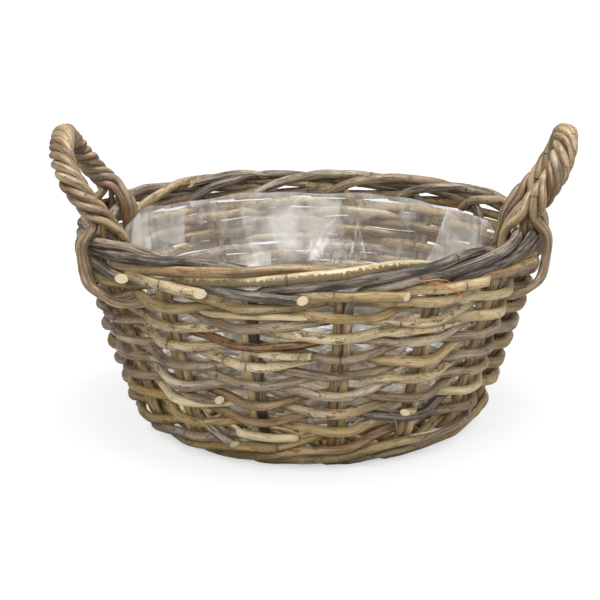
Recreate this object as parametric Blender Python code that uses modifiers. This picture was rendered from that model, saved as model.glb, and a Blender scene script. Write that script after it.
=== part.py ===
"""Round rattan planter with a woven wall, a rolled border and two roped handles.

The basket stands on Z = 0 with its axis on Z, and its handles stand at +X and -X.
All lengths are in metres. Run with: blender --background --python part.py
"""
import math

import bmesh
import bpy
from mathutils import Matrix, Vector

# Wall: a cone through the middle of the weave
PAIR_COUNT = 16
FOOT_WALL_RADIUS = 0.1145
RIM_WALL_RADIUS = 0.1500
RIM_WALL_HEIGHT = 0.1200
CLEARANCE = 0.0003

# Rods that cross the base and stand up as the pairs of side stakes
STAKE_DIAMETER = 0.0058

# Woven rows
ROW_COUNT = 14
WEAVER_DIAMETER = 0.0059
FIRST_ROW_HEIGHT = 0.0325
ROW_PITCH = 0.0067
SEAM_STRIDE = 5
HUG_MARGIN = 0.0012
HUG_SHARE = 0.13
BEND_ALLOWANCE = 0.0003

# Waling round the foot: each rod passes outside three pairs and inside the next one
WALE_RODS = 4
WALE_DIAMETER = 0.0062
WALE_RISE = 0.0078
FOOT_FLAT_DEPTH = 0.0005
FOOT_TUCK = 0.0080

# Base
BASE_HEIGHT = 0.0125
SLATH_RADIUS = 0.0260
FAN_RADIUS = 0.0500
BEND_RADIUS = 0.1015
BINDING_DIAMETER = 0.0040
BINDING_ROUNDS = 2
BASE_WEAVER_DIAMETER = 0.0046
BASE_WEAVE_START = 0.0600
BASE_WEAVE_PITCH = 0.0059
BASE_WEAVE_TURNS = 3

# Rolled border of the long stake ends
BORDER_CREST_HEIGHT = 0.1424
BORDER_HALF_WIDTH = 0.0070
CUT_END_REACH = 0.0050

# Handles: a bow rod pushed down beside a pair, with five rods twisted round it
RIGHT_SPAN_PAIRS = 1
RIGHT_MIDDLE_PAIR = -0.5
RIGHT_APEX_HEIGHT = 0.2010
RIGHT_APEX_RADIUS = 0.1720
RIGHT_BULGE_RISE = 0.0100
RIGHT_FLARE_POWER = 1.7
LEFT_SPAN_PAIRS = 2
LEFT_MIDDLE_PAIR = 8
LEFT_APEX_HEIGHT = 0.1985
LEFT_APEX_RADIUS = 0.1665
LEFT_BULGE_RISE = 0.0040
LEFT_FLARE_POWER = 1.6
BOW_DIAMETER = 0.0042
BOW_TIP_HEIGHT = 0.0560
BOW_STAND_HEIGHT = 0.1540
BOW_POINTS = 12
WRAP_COUNT = 5
WRAP_DIAMETER = 0.0056
WRAP_HALF_TURNS = 4
WRAP_POINTS = 23
WRAP_TIP_HEIGHT = 0.1120

# Liner of thin clear film
LINER_THICKNESS = 0.0006
LINER_TOP_HEIGHT = 0.1330
LINER_STEPS = 24

# Derived sizes
STAKE_RADIUS = STAKE_DIAMETER / 2
WEAVER_RADIUS = WEAVER_DIAMETER / 2
WALE_RADIUS = WALE_DIAMETER / 2
BINDING_RADIUS = BINDING_DIAMETER / 2
BASE_WEAVER_RADIUS = BASE_WEAVER_DIAMETER / 2
BOW_RADIUS = BOW_DIAMETER / 2
WRAP_RADIUS = WRAP_DIAMETER / 2
PAIR_ANGLE = math.tau / PAIR_COUNT
PAIR_HALF_SPACING = STAKE_RADIUS + CLEARANCE / 2
WALL_LEAN = math.atan2(RIM_WALL_RADIUS - FOOT_WALL_RADIUS, RIM_WALL_HEIGHT)
LAST_ROW_HEIGHT = FIRST_ROW_HEIGHT + ROW_PITCH * (ROW_COUNT - 1)
ROW_SWING = STAKE_RADIUS + WEAVER_RADIUS + CLEARANCE
BOW_LATERAL = PAIR_HALF_SPACING + STAKE_RADIUS + BOW_RADIUS + CLEARANCE
PAIR_OFFSET_ANGLE = math.atan2(BOW_LATERAL, RIM_WALL_RADIUS)
ARM_PAIRS = PAIR_COUNT // 4
DOUBLE_PITCH = 2 * (STAKE_DIAMETER + CLEARANCE) + CLEARANCE
BORDER_LOW_HEIGHT = LAST_ROW_HEIGHT + WEAVER_RADIUS + STAKE_RADIUS + CLEARANCE
WELD_DISTANCE = CLEARANCE / 100
GROUND_CUTTER_SPAN = 4 * FOOT_WALL_RADIUS

# Handles: name, place of the middle in pairs, pairs between the feet and shape of the arch: height and
# radius of its apex, rise from its feet to its widest place and how soon its legs lean out
RIGHT_SHAPE = (RIGHT_APEX_HEIGHT, RIGHT_APEX_RADIUS, RIGHT_BULGE_RISE, RIGHT_FLARE_POWER)
LEFT_SHAPE = (LEFT_APEX_HEIGHT, LEFT_APEX_RADIUS, LEFT_BULGE_RISE, LEFT_FLARE_POWER)
HANDLES = (
    ("right", RIGHT_MIDDLE_PAIR, RIGHT_SPAN_PAIRS, RIGHT_SHAPE),
    ("left", LEFT_MIDDLE_PAIR, LEFT_SPAN_PAIRS, LEFT_SHAPE),
)
BOW_PAIRS = [(middle + end * span / 2) % PAIR_COUNT for _, middle, span, *_ in HANDLES for end in (-1, 1)]

# Curve bevels: half the number of extra sides, so 1 is a six-sided rod and 0 a four-sided one
ROUND_ROD = 1
PLAIN_ROD = 0


def wall_radius(height):
    """Radius of the middle of the wall at a height."""
    return FOOT_WALL_RADIUS + (RIM_WALL_RADIUS - FOOT_WALL_RADIUS) * height / RIM_WALL_HEIGHT


def pair_angle(index):
    """Angle round Z of the middle of a stake pair."""
    return index * PAIR_ANGLE + PAIR_OFFSET_ANGLE


def polar(angle, radius, height, lateral=0.0):
    """Point at an angle, moved sideways at right angles to the radius."""
    return Vector((
        radius * math.cos(angle) - lateral * math.sin(angle),
        radius * math.sin(angle) + lateral * math.cos(angle),
        height,
    ))


def wall_point(angle, height, offset, lateral=0.0):
    """Point of the wall, moved out along the normal of the wall by an offset."""
    radius = wall_radius(height) + offset * math.cos(WALL_LEAN)
    return polar(angle, radius, height - offset * math.sin(WALL_LEAN), lateral)


def clean_scene():
    """Remove every object of the open scene."""
    for item in list(bpy.data.objects):
        bpy.data.objects.remove(item, do_unlink=True)


def new_collection(name):
    """Make a collection in the scene."""
    collection = bpy.data.collections.new(name)
    bpy.context.scene.collection.children.link(collection)
    return collection


def make_material(name, colour, roughness):
    """Make a plain Principled material."""
    material = bpy.data.materials.new(name)
    material.use_nodes = True
    shader = material.node_tree.nodes["Principled BSDF"]
    shader.inputs["Base Color"].default_value = (*colour, 1.0)
    shader.inputs["Roughness"].default_value = roughness
    shader.inputs["Metallic"].default_value = 0.0
    return material


def make_rod(name, points, radius, material, collection, sides=ROUND_ROD):
    """Make a rod as a bevelled poly curve with filled ends."""
    curve = bpy.data.curves.new(name, "CURVE")
    curve.dimensions = "3D"
    curve.twist_mode = "MINIMUM"
    curve.bevel_depth = radius
    curve.bevel_resolution = sides
    curve.use_fill_caps = True
    spline = curve.splines.new("POLY")
    spline.points.add(len(points) - 1)
    for index, point in enumerate(points):
        spline.points[index].co = (*point, 1.0)
    spline.use_smooth = True
    rod = bpy.data.objects.new(name, curve)
    rod.data.materials.append(material)
    collection.objects.link(rod)
    return rod


def rod_to_mesh(rod, collection):
    """Turn a curve rod into a mesh object with welded caps."""
    name = rod.name
    graph = bpy.context.evaluated_depsgraph_get()
    mesh = bpy.data.meshes.new_from_object(rod.evaluated_get(graph))
    weld = bmesh.new()
    weld.from_mesh(mesh)
    bmesh.ops.remove_doubles(weld, verts=weld.verts, dist=WELD_DISTANCE)
    weld.to_mesh(mesh)
    weld.free()
    place = rod.matrix_world.copy()
    bpy.data.objects.remove(rod, do_unlink=True)
    solid = bpy.data.objects.new(name, mesh)
    solid.matrix_world = place
    collection.objects.link(solid)
    return solid


# Woven rows of the wall


def row_inside_swing(height):
    """Swing of a row behind a pair, where it bends at one point and slopes away on both sides."""
    crossing = wall_radius(height) * PAIR_ANGLE - BOW_LATERAL - BOW_RADIUS - HUG_MARGIN
    slope = (2 * ROW_SWING + 2 * HUG_MARGIN) / crossing
    return ROW_SWING * math.hypot(1.0, slope) + slope * PAIR_HALF_SPACING


def row_points(row):
    """Route of one row: outside every second pair and inside the others."""
    height = FIRST_ROW_HEIGHT + ROW_PITCH * row
    seam_pair = (row + 1) % 2 + 2 * (row * SEAM_STRIDE % (PAIR_COUNT // 2))
    hug = PAIR_HALF_SPACING + STAKE_RADIUS + HUG_MARGIN
    bow_hug = BOW_LATERAL + BOW_RADIUS + HUG_MARGIN
    outside = ROW_SWING + BEND_ALLOWANCE
    inside = -row_inside_swing(height)
    points = [wall_point(pair_angle(seam_pair), height, inside, CLEARANCE / 2)]
    for step in range(1, PAIR_COUNT):
        pair = seam_pair + step
        angle = pair_angle(pair)
        beside_bow = is_bow_pair(pair)
        if step % 2:
            points.append(wall_point(angle, height, outside, -bow_hug if beside_bow else -hug))
            points.append(wall_point(angle, height, outside, hug))
        else:
            if beside_bow:
                points.append(wall_point(angle, height, inside, -BOW_LATERAL))
            points.append(wall_point(angle, height, inside))
    points.append(wall_point(pair_angle(seam_pair), height, inside, -CLEARANCE / 2))
    return points


def is_bow_pair(pair):
    """Say if the end of a handle bow stands beside this pair."""
    return pair % PAIR_COUNT in BOW_PAIRS


def build_rows(material, collection):
    """Weave the rows of the wall."""
    for row in range(ROW_COUNT):
        name = f"weaver_row_{row + 1:02d}"
        make_rod(name, row_points(row), WEAVER_RADIUS, material, collection)


# Stake rods: border end, side, base, side and short end


def border_route(pair):
    """Route of a long stake end through the rolled border, from its pair to its cut end."""
    centre = wall_radius(RIM_WALL_HEIGHT)
    rod_pitch = STAKE_DIAMETER + CLEARANCE
    low = BORDER_LOW_HEIGHT
    outside = low + rod_pitch
    crest = BORDER_CREST_HEIGHT
    out = BORDER_HALF_WIDTH
    stops = (
        (0.22, out / 2, low + rod_pitch * 2 / 3),
        (0.50, out, outside),
        (1.00, out, outside + rod_pitch / 2),
        (1.50, out, outside + rod_pitch),
        (2.00, out, outside + rod_pitch * 3 / 2),
        (2.50, 0.0, crest),
        (3.00, -out, outside + rod_pitch),
        (3.30, -out / 2, outside),
        (3.46, 0.0, low),
        (3.62, out + CUT_END_REACH, low),
    )
    return [polar(pair_angle(pair + share), centre + offset, height) for share, offset, height in stops]


def side_route(pair, side):
    """Route up the side from the fan of the base, for the left or right rod of a pair."""
    angle = pair_angle(pair)
    lateral = side * PAIR_HALF_SPACING
    knee = BASE_HEIGHT + STAKE_DIAMETER
    points = [
        polar(angle, FAN_RADIUS, BASE_HEIGHT, lateral),
        polar(angle, BEND_RADIUS, BASE_HEIGHT, lateral),
        polar(angle, (BEND_RADIUS + wall_radius(knee)) / 2 + STAKE_RADIUS, BASE_HEIGHT + STAKE_RADIUS / 2, lateral),
        polar(angle, wall_radius(knee), knee, lateral),
    ]
    top = BORDER_LOW_HEIGHT - STAKE_RADIUS
    points.append(polar(angle, wall_radius(top), top, lateral))
    if side > 0:
        points.extend(border_route(pair))
    return points


def arm_bend(offset, fan_angle):
    """Angle by which a rod of a base arm turns out of line to meet its place in the fan."""
    return math.atan2(
        FAN_RADIUS * math.sin(fan_angle) - offset,
        FAN_RADIUS * math.cos(fan_angle) - SLATH_RADIUS,
    )


def build_stakes(material, collection):
    """Lay four double rods over four others and turn their ends up as sixteen pairs."""
    layer_drop = STAKE_RADIUS + CLEARANCE / 2
    for arm in range(2):
        axis = pair_angle(arm * ARM_PAIRS + (ARM_PAIRS - 1) / 2)
        height = BASE_HEIGHT + (layer_drop if arm else -layer_drop)
        for double in range(ARM_PAIRS):
            near = arm * ARM_PAIRS + double
            far = near + PAIR_COUNT // 2 + ARM_PAIRS - 1 - 2 * double
            place = double - (ARM_PAIRS - 1) / 2
            offset = place * DOUBLE_PITCH
            bend = arm_bend(offset, place * PAIR_ANGLE)
            for side in (-1, 1):
                lateral = offset + side * PAIR_HALF_SPACING
                reach = SLATH_RADIUS - side * PAIR_HALF_SPACING * math.tan(bend / 2)
                middle = [polar(axis, end * reach, height, lateral) for end in (-1, 1)]
                route = side_route(far, -side)[::-1] + middle + side_route(near, side)
                long_pair = near if side > 0 else far
                name = f"stake_rod_{long_pair % PAIR_COUNT + 1:02d}"
                make_rod(name, route, STAKE_RADIUS, material, collection)


# Base


def build_base_binding(material, collection):
    """Bind the crossed rods with a rod that runs over one arm and under the next."""
    outer_place = (ARM_PAIRS - 1) / 2
    bend = arm_bend(outer_place * DOUBLE_PITCH, outer_place * PAIR_ANGLE)
    arm_edge = outer_place * DOUBLE_PITCH + PAIR_HALF_SPACING
    room = (STAKE_RADIUS + BINDING_RADIUS + CLEARANCE) / math.cos(bend)
    swing = STAKE_DIAMETER + BINDING_RADIUS + 2 * CLEARANCE
    points = []
    for quarter in range(BINDING_ROUNDS * 4):
        axis = pair_angle(quarter * ARM_PAIRS + outer_place)
        spread = BINDING_DIAMETER * (1 + quarter / 4)
        half = arm_edge + spread * math.tan(bend) + room
        height = BASE_HEIGHT + (swing if quarter % 2 else -swing)
        points.append(polar(axis, SLATH_RADIUS + spread, height, -half))
        points.append(polar(axis, SLATH_RADIUS + spread, height, half))
    make_rod("base_binding", points, BINDING_RADIUS, material, collection, PLAIN_ROD)


def build_base_weave(material, collection):
    """Weave the base outward with pairs of rods that take turns over and under the stake pairs."""
    for start in range(2):
        for turn in range(BASE_WEAVE_TURNS):
            name = f"base_weaver_{start * BASE_WEAVE_TURNS + turn + 1}"
            points = base_weave_points(start, turn)
            make_rod(name, points, BASE_WEAVER_RADIUS, material, collection, PLAIN_ROD)


def base_weave_points(start, turn):
    """Route of a base weaver over one turn, with its ends against those of the turns beside it."""
    swing = STAKE_RADIUS + BASE_WEAVER_RADIUS + CLEARANCE
    hug = PAIR_HALF_SPACING + BASE_WEAVER_RADIUS
    first = turn * PAIR_COUNT
    points = []
    for step in range(first - 1, first + PAIR_COUNT + 1):
        radius = BASE_WEAVE_START + BASE_WEAVE_PITCH * (2 * step / PAIR_COUNT + start)
        height = BASE_HEIGHT + (swing if (step + start) % 2 else -swing)
        for side in (-1, 1):
            points.append(polar(pair_angle(step), radius, height, side * hug))
    ends = [points[1], points[-2]]
    points = points[2:-2]
    for place, neighbour in ((0, ends[0]), (-1, ends[1])):
        gap = neighbour - points[place]
        meeting = points[place] + gap * (1 / 2 - CLEARANCE / gap.length)
        points.insert(0 if place == 0 else len(points), meeting)
    return points


# Foot waling


def wale_stops():
    """Places of one waling rod over four pairs: share of a pair, radius and height."""
    low = WALE_RADIUS * math.cos(math.pi / 6) - FOOT_FLAT_DEPTH
    middle = low + WALE_RISE
    high = middle + WALE_RISE
    top = high + STAKE_DIAMETER
    hold = (STAKE_RADIUS + WALE_RADIUS + CLEARANCE) / math.cos(WALL_LEAN)
    under = wall_radius(0.0) - FOOT_TUCK
    inner = wall_radius(top) - hold
    beside = wall_radius(middle) + WALE_RADIUS + BEND_ALLOWANCE
    outer = wall_radius(high) + hold
    return (
        (HUG_SHARE, inner, top),
        (0.5, inner - WALE_DIAMETER, (top + low) / 2),
        (1.0 - HUG_SHARE, under, low),
        (1.0 + HUG_SHARE, under, low),
        (1.5, (under + beside) / 2 + CLEARANCE, (low + middle) / 2),
        (2.0, beside, middle),
        (3.0 - HUG_SHARE, outer, high),
        (3.0 + HUG_SHARE, outer, high),
        (4.0 - HUG_SHARE, inner, top),
    )


def wale_points(rod_index):
    """Route of a waling rod, from its one end behind a pair round to the other."""
    radius, height = wale_stops()[0][1:]
    points = [polar(pair_angle(rod_index), radius, height, CLEARANCE / 2)]
    for turn in range(PAIR_COUNT // WALE_RODS):
        for share, radius, height in wale_stops():
            pair = rod_index + turn * WALE_RODS + share
            points.append(polar(pair_angle(pair), radius, height))
    points.append(polar(pair_angle(rod_index), radius, height, -CLEARANCE / 2))
    return points


def build_wale(material, collection, cutters):
    """Weave the waling rods round the foot and cut them flat where they stand."""
    ground = make_ground_cutter(cutters)
    for rod_index in range(WALE_RODS):
        name = f"foot_wale_{rod_index + 1}"
        rod = make_rod(name, wale_points(rod_index), WALE_RADIUS, material, collection)
        rod = rod_to_mesh(rod, collection)
        cut = rod.modifiers.new("flat_foot", "BOOLEAN")
        cut.operation = "DIFFERENCE"
        cut.solver = "EXACT"
        cut.object = ground


def make_ground_cutter(cutters):
    """Make the block under the floor plane that trims the foot."""
    mesh = bpy.data.meshes.new("ground_cutter")
    block = bmesh.new()
    bmesh.ops.create_cube(block, size=GROUND_CUTTER_SPAN)
    bmesh.ops.translate(block, verts=block.verts, vec=(0.0, 0.0, -GROUND_CUTTER_SPAN / 2))
    block.to_mesh(mesh)
    block.free()
    cutter = bpy.data.objects.new("ground_cutter", mesh)
    cutter.hide_render = True
    cutter.display_type = "WIRE"
    cutters.objects.link(cutter)
    return cutter


# Handles


def arch_route(steps, span, apex_height, apex_radius, bulge_rise, flare_power):
    """Arch of a handle at +X above the border, from its one foot to the other."""
    foot = polar(PAIR_ANGLE * span / 2, math.hypot(RIM_WALL_RADIUS, BOW_LATERAL), BOW_STAND_HEIGHT)
    widest_height = foot.z + bulge_rise
    start = -math.asin(bulge_rise / (apex_height - widest_height))
    points = []
    for step in range(steps + 1):
        turn = start + (math.pi - 2 * start) * step / steps
        height = widest_height + (apex_height - widest_height) * math.sin(turn)
        rise = max((height - foot.z) / (apex_height - foot.z), 0.0)
        flare = 1.0 - (1.0 - rise) ** flare_power
        points.append(Vector((
            foot.x + (apex_radius - foot.x) * flare,
            -foot.y * math.cos(turn) / math.cos(start),
            height,
        )))
    return points


def bow_leg(pair):
    """End of a bow beside a pair, from its tip in the weave up through the border."""
    heights = (BOW_TIP_HEIGHT, RIM_WALL_HEIGHT)
    return [polar(pair_angle(pair), wall_radius(height), height, -BOW_LATERAL) for height in heights]


def route_at(points, share):
    """Point at a share of the length of a route."""
    lengths = [(end - start).length for start, end in zip(points, points[1:])]
    goal = share * sum(lengths)
    for start, end, length in zip(points, points[1:], lengths):
        if goal <= length:
            return start.lerp(end, goal / length)
        goal -= length
    return points[-1]


def wrap_points(arch, span, wrap):
    """Route of one wrap, twisted round the arch and spread past the border at both feet."""
    start_turn = (wrap + 1 / 2) / WRAP_COUNT
    turns = WRAP_HALF_TURNS / 2
    flattening = math.cos(math.pi * turns / (WRAP_POINTS - 1))
    winding = (BOW_RADIUS + WRAP_RADIUS + CLEARANCE) / flattening + 3 * CLEARANCE
    points = []
    for step in range(WRAP_POINTS):
        share = step / (WRAP_POINTS - 1)
        centre = route_at(arch, share)
        ahead = route_at(arch, min(share + 1 / WRAP_POINTS, 1.0))
        behind = route_at(arch, max(share - 1 / WRAP_POINTS, 0.0))
        along = (ahead - behind).normalized()
        outward = Vector((1.0, 0.0, 0.0))
        outward = (outward - along * outward.dot(along)).normalized()
        across = outward.cross(along)
        phase = math.tau * (start_turn + turns * share)
        points.append(centre + winding * (outward * math.cos(phase) + across * math.sin(phase)))
    feet = [wrap_foot(end * span, start_turn + turns * (end > 0)) for end in (-1, 1)]
    return feet[0][::-1] + points + feet[1]


def wrap_foot(spread, turns):
    """Lower end of a wrap, half its spread in pairs from the middle, outside or inside the wall."""
    foot_angle = spread * PAIR_ANGLE / 2
    end = math.copysign(1, spread)
    phase = math.tau * turns
    outside = 1 if math.cos(phase) > 0 else -1
    border_reach = BORDER_HALF_WIDTH + STAKE_RADIUS + WRAP_RADIUS + 2 * CLEARANCE
    swing = ROW_SWING + BEND_ALLOWANCE if outside > 0 else row_inside_swing(WRAP_TIP_HEIGHT)
    wall_reach = swing + WEAVER_RADIUS + WRAP_RADIUS + HUG_MARGIN + 3 * CLEARANCE
    lateral = end * math.sin(phase) * (WRAP_DIAMETER + HUG_MARGIN + BEND_ALLOWANCE)
    middle = (BORDER_CREST_HEIGHT + BORDER_LOW_HEIGHT) / 2
    return [
        polar(foot_angle, RIM_WALL_RADIUS + outside * border_reach, BORDER_CREST_HEIGHT, lateral),
        polar(foot_angle, RIM_WALL_RADIUS + outside * border_reach, middle, lateral),
        wall_point(foot_angle, WRAP_TIP_HEIGHT, outside * wall_reach, lateral),
    ]


def build_handle(side_name, middle, span, shape, material, collection):
    """Build a bow and the rods that are twisted round it."""
    turn = Matrix.Rotation(PAIR_ANGLE * middle, 4, "Z")
    bow = bow_leg(-span / 2) + arch_route(BOW_POINTS, span, *shape) + bow_leg(span / 2)[::-1]
    make_rod(f"{side_name}_handle_bow", [turn @ point for point in bow], BOW_RADIUS, material, collection)
    arch = arch_route(BOW_POINTS * WRAP_COUNT, span, *shape)
    for wrap in range(WRAP_COUNT):
        route = [turn @ point for point in wrap_points(arch, span, wrap)]
        make_rod(f"{side_name}_handle_wrap_{wrap + 1}", route, WRAP_RADIUS, material, collection)


# Liner


def build_liner(material, collection):
    """Turn the thin open bowl of film that lines the basket."""
    facet_sag = RIM_WALL_RADIUS * (1.0 - math.cos(math.pi / LINER_STEPS))
    inner_face = LINER_THICKNESS + BEND_ALLOWANCE + facet_sag
    weave_depth = row_inside_swing(FIRST_ROW_HEIGHT) + WEAVER_RADIUS + inner_face
    floor = BASE_HEIGHT + STAKE_DIAMETER + BINDING_DIAMETER + 4 * CLEARANCE
    inner_wrap = BORDER_HALF_WIDTH + STAKE_RADIUS + WRAP_DIAMETER + 2 * CLEARANCE + inner_face
    neck_height = WRAP_TIP_HEIGHT - WRAP_DIAMETER
    neck_radius = wall_radius(WRAP_TIP_HEIGHT) - inner_wrap
    floor_radius = wall_radius(floor) - weave_depth
    corner = WEAVER_DIAMETER
    profile = (
        (neck_radius, LINER_TOP_HEIGHT),
        (neck_radius, neck_height),
        (wall_radius(neck_height - corner) - weave_depth, neck_height - 2 * corner),
        (floor_radius, floor + corner),
        (floor_radius - corner, floor),
        (0.0, floor),
    )
    mesh = bpy.data.meshes.new("film_liner")
    edges = [(index, index + 1) for index in range(len(profile) - 1)]
    mesh.from_pydata([(radius, 0.0, height) for radius, height in profile], edges, [])
    liner = bpy.data.objects.new("film_liner", mesh)
    liner.data.materials.append(material)
    collection.objects.link(liner)
    screw = liner.modifiers.new("turn", "SCREW")
    screw.steps = LINER_STEPS
    screw.render_steps = LINER_STEPS
    screw.use_merge_vertices = True
    screw.merge_threshold = WELD_DISTANCE
    film = liner.modifiers.new("film", "SOLIDIFY")
    film.thickness = LINER_THICKNESS
    film.offset = -1.0


def main():
    """Build every piece of the planter."""
    clean_scene()
    planter = new_collection("rattan_planter")
    cutters = new_collection("cutters")
    weaver = make_material("weathered_rattan", (0.30, 0.24, 0.16), 0.55)
    stake = make_material("brown_rattan", (0.22, 0.16, 0.10), 0.55)
    wale = make_material("dark_rattan", (0.20, 0.15, 0.10), 0.55)
    base = make_material("pale_rattan", (0.38, 0.30, 0.19), 0.60)
    handle = make_material("handle_rattan", (0.26, 0.21, 0.15), 0.50)
    film = make_material("clear_film", (0.85, 0.85, 0.85), 0.15)
    build_rows(weaver, planter)
    build_stakes(stake, planter)
    build_base_binding(base, planter)
    build_base_weave(base, planter)
    build_wale(wale, planter, cutters)
    for handle_sizes in HANDLES:
        build_handle(*handle_sizes, handle, planter)
    build_liner(film, planter)


main()
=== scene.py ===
"""Looks of a round rattan planter with a rolled border, two roped handles and a liner of clear film.

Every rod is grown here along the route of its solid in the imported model, with the joints, bark, grain
and cut ends of real rattan. The tails of the border rods, the loose ends and the closer twist of the
handles are made here alone. All lengths are in metres, and the basket stands on Z = 0.
"""
import itertools
import logging
import math
from dataclasses import dataclass, field
from enum import Enum
from typing import ClassVar

import bpy
import numpy as np
from mathutils import Matrix, Vector


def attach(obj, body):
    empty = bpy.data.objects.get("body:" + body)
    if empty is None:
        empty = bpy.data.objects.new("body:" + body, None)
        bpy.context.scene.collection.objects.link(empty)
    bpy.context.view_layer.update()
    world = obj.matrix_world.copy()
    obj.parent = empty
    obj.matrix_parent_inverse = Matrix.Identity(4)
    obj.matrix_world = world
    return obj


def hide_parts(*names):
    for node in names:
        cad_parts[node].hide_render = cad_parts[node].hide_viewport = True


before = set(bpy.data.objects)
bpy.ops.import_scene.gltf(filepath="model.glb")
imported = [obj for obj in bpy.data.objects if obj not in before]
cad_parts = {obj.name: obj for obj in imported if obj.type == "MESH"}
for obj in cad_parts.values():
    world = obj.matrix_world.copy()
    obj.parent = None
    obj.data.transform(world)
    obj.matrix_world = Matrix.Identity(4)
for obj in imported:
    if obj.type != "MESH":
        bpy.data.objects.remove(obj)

LOG = logging.getLogger("rattan_planter")
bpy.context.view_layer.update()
UP = np.array((0.0, 0.0, 1.0))


def srgb(red: float, green: float, blue: float) -> tuple[float, float, float, float]:
    """Turn a colour as seen on a screen, 0 to 255, into the linear colour a shader takes.

    Args:
        red: Red share as seen.
        green: Green share as seen.
        blue: Blue share as seen.

    Returns:
        Linear red, green, blue and a full alpha.
    """
    shares = [channel / 255.0 for channel in (red, green, blue)]
    linear = [s / 12.92 if s <= 0.04045 else ((s + 0.055) / 1.055) ** 2.4 for s in shares]
    return (linear[0], linear[1], linear[2], 1.0)


class Tone(Enum):
    """The kinds of rattan that are mixed in the basket."""

    STRAW = "pale straw rattan"
    STRAW_SPECKLED = "pale speckled rattan"
    TAN = "tan rattan"
    TAN_SPECKLED = "speckled tan rattan"
    OLIVE = "olive rattan"
    HONEY = "honey rattan"
    MAUVE = "weathered mauve grey rattan"
    MAUVE_PALE = "pale mauve grey rattan"
    BROWN = "brown rattan"
    BROWN_GREY = "grey brown rattan"
    RUSSET = "russet rattan"
    BARK = "rattan in dark bark"
    BARK_PALE = "rattan in weathered bark"
    PEELING = "straw rattan with peeling bark"
    HANDLE = "weathered handle rattan"
    HANDLE_PALE = "pale handle rattan"
    HANDLE_WORN = "worn reddish handle rattan"
    FIBRE = "loose copper fibre"
    CUT = "fresh cut end"


class EndShape(Enum):
    """How the end of a rod is shaped."""

    CUT = "sawn across, with the pale pith showing"
    TUCKED = "blunt end hidden in the weave"
    TIP = "long thin tip"


class Side(Enum):
    """The side on which a handle stands, as the camera sees it."""

    RIGHT = "right"
    LEFT = "left"


@dataclass(frozen=True)
class Grain:
    """Noise pattern: its waves in a metre along each axis, its layers of detail and their strength."""

    waves: tuple[float, float, float]
    detail: float = 4.0
    rough: float = 0.55


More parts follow.
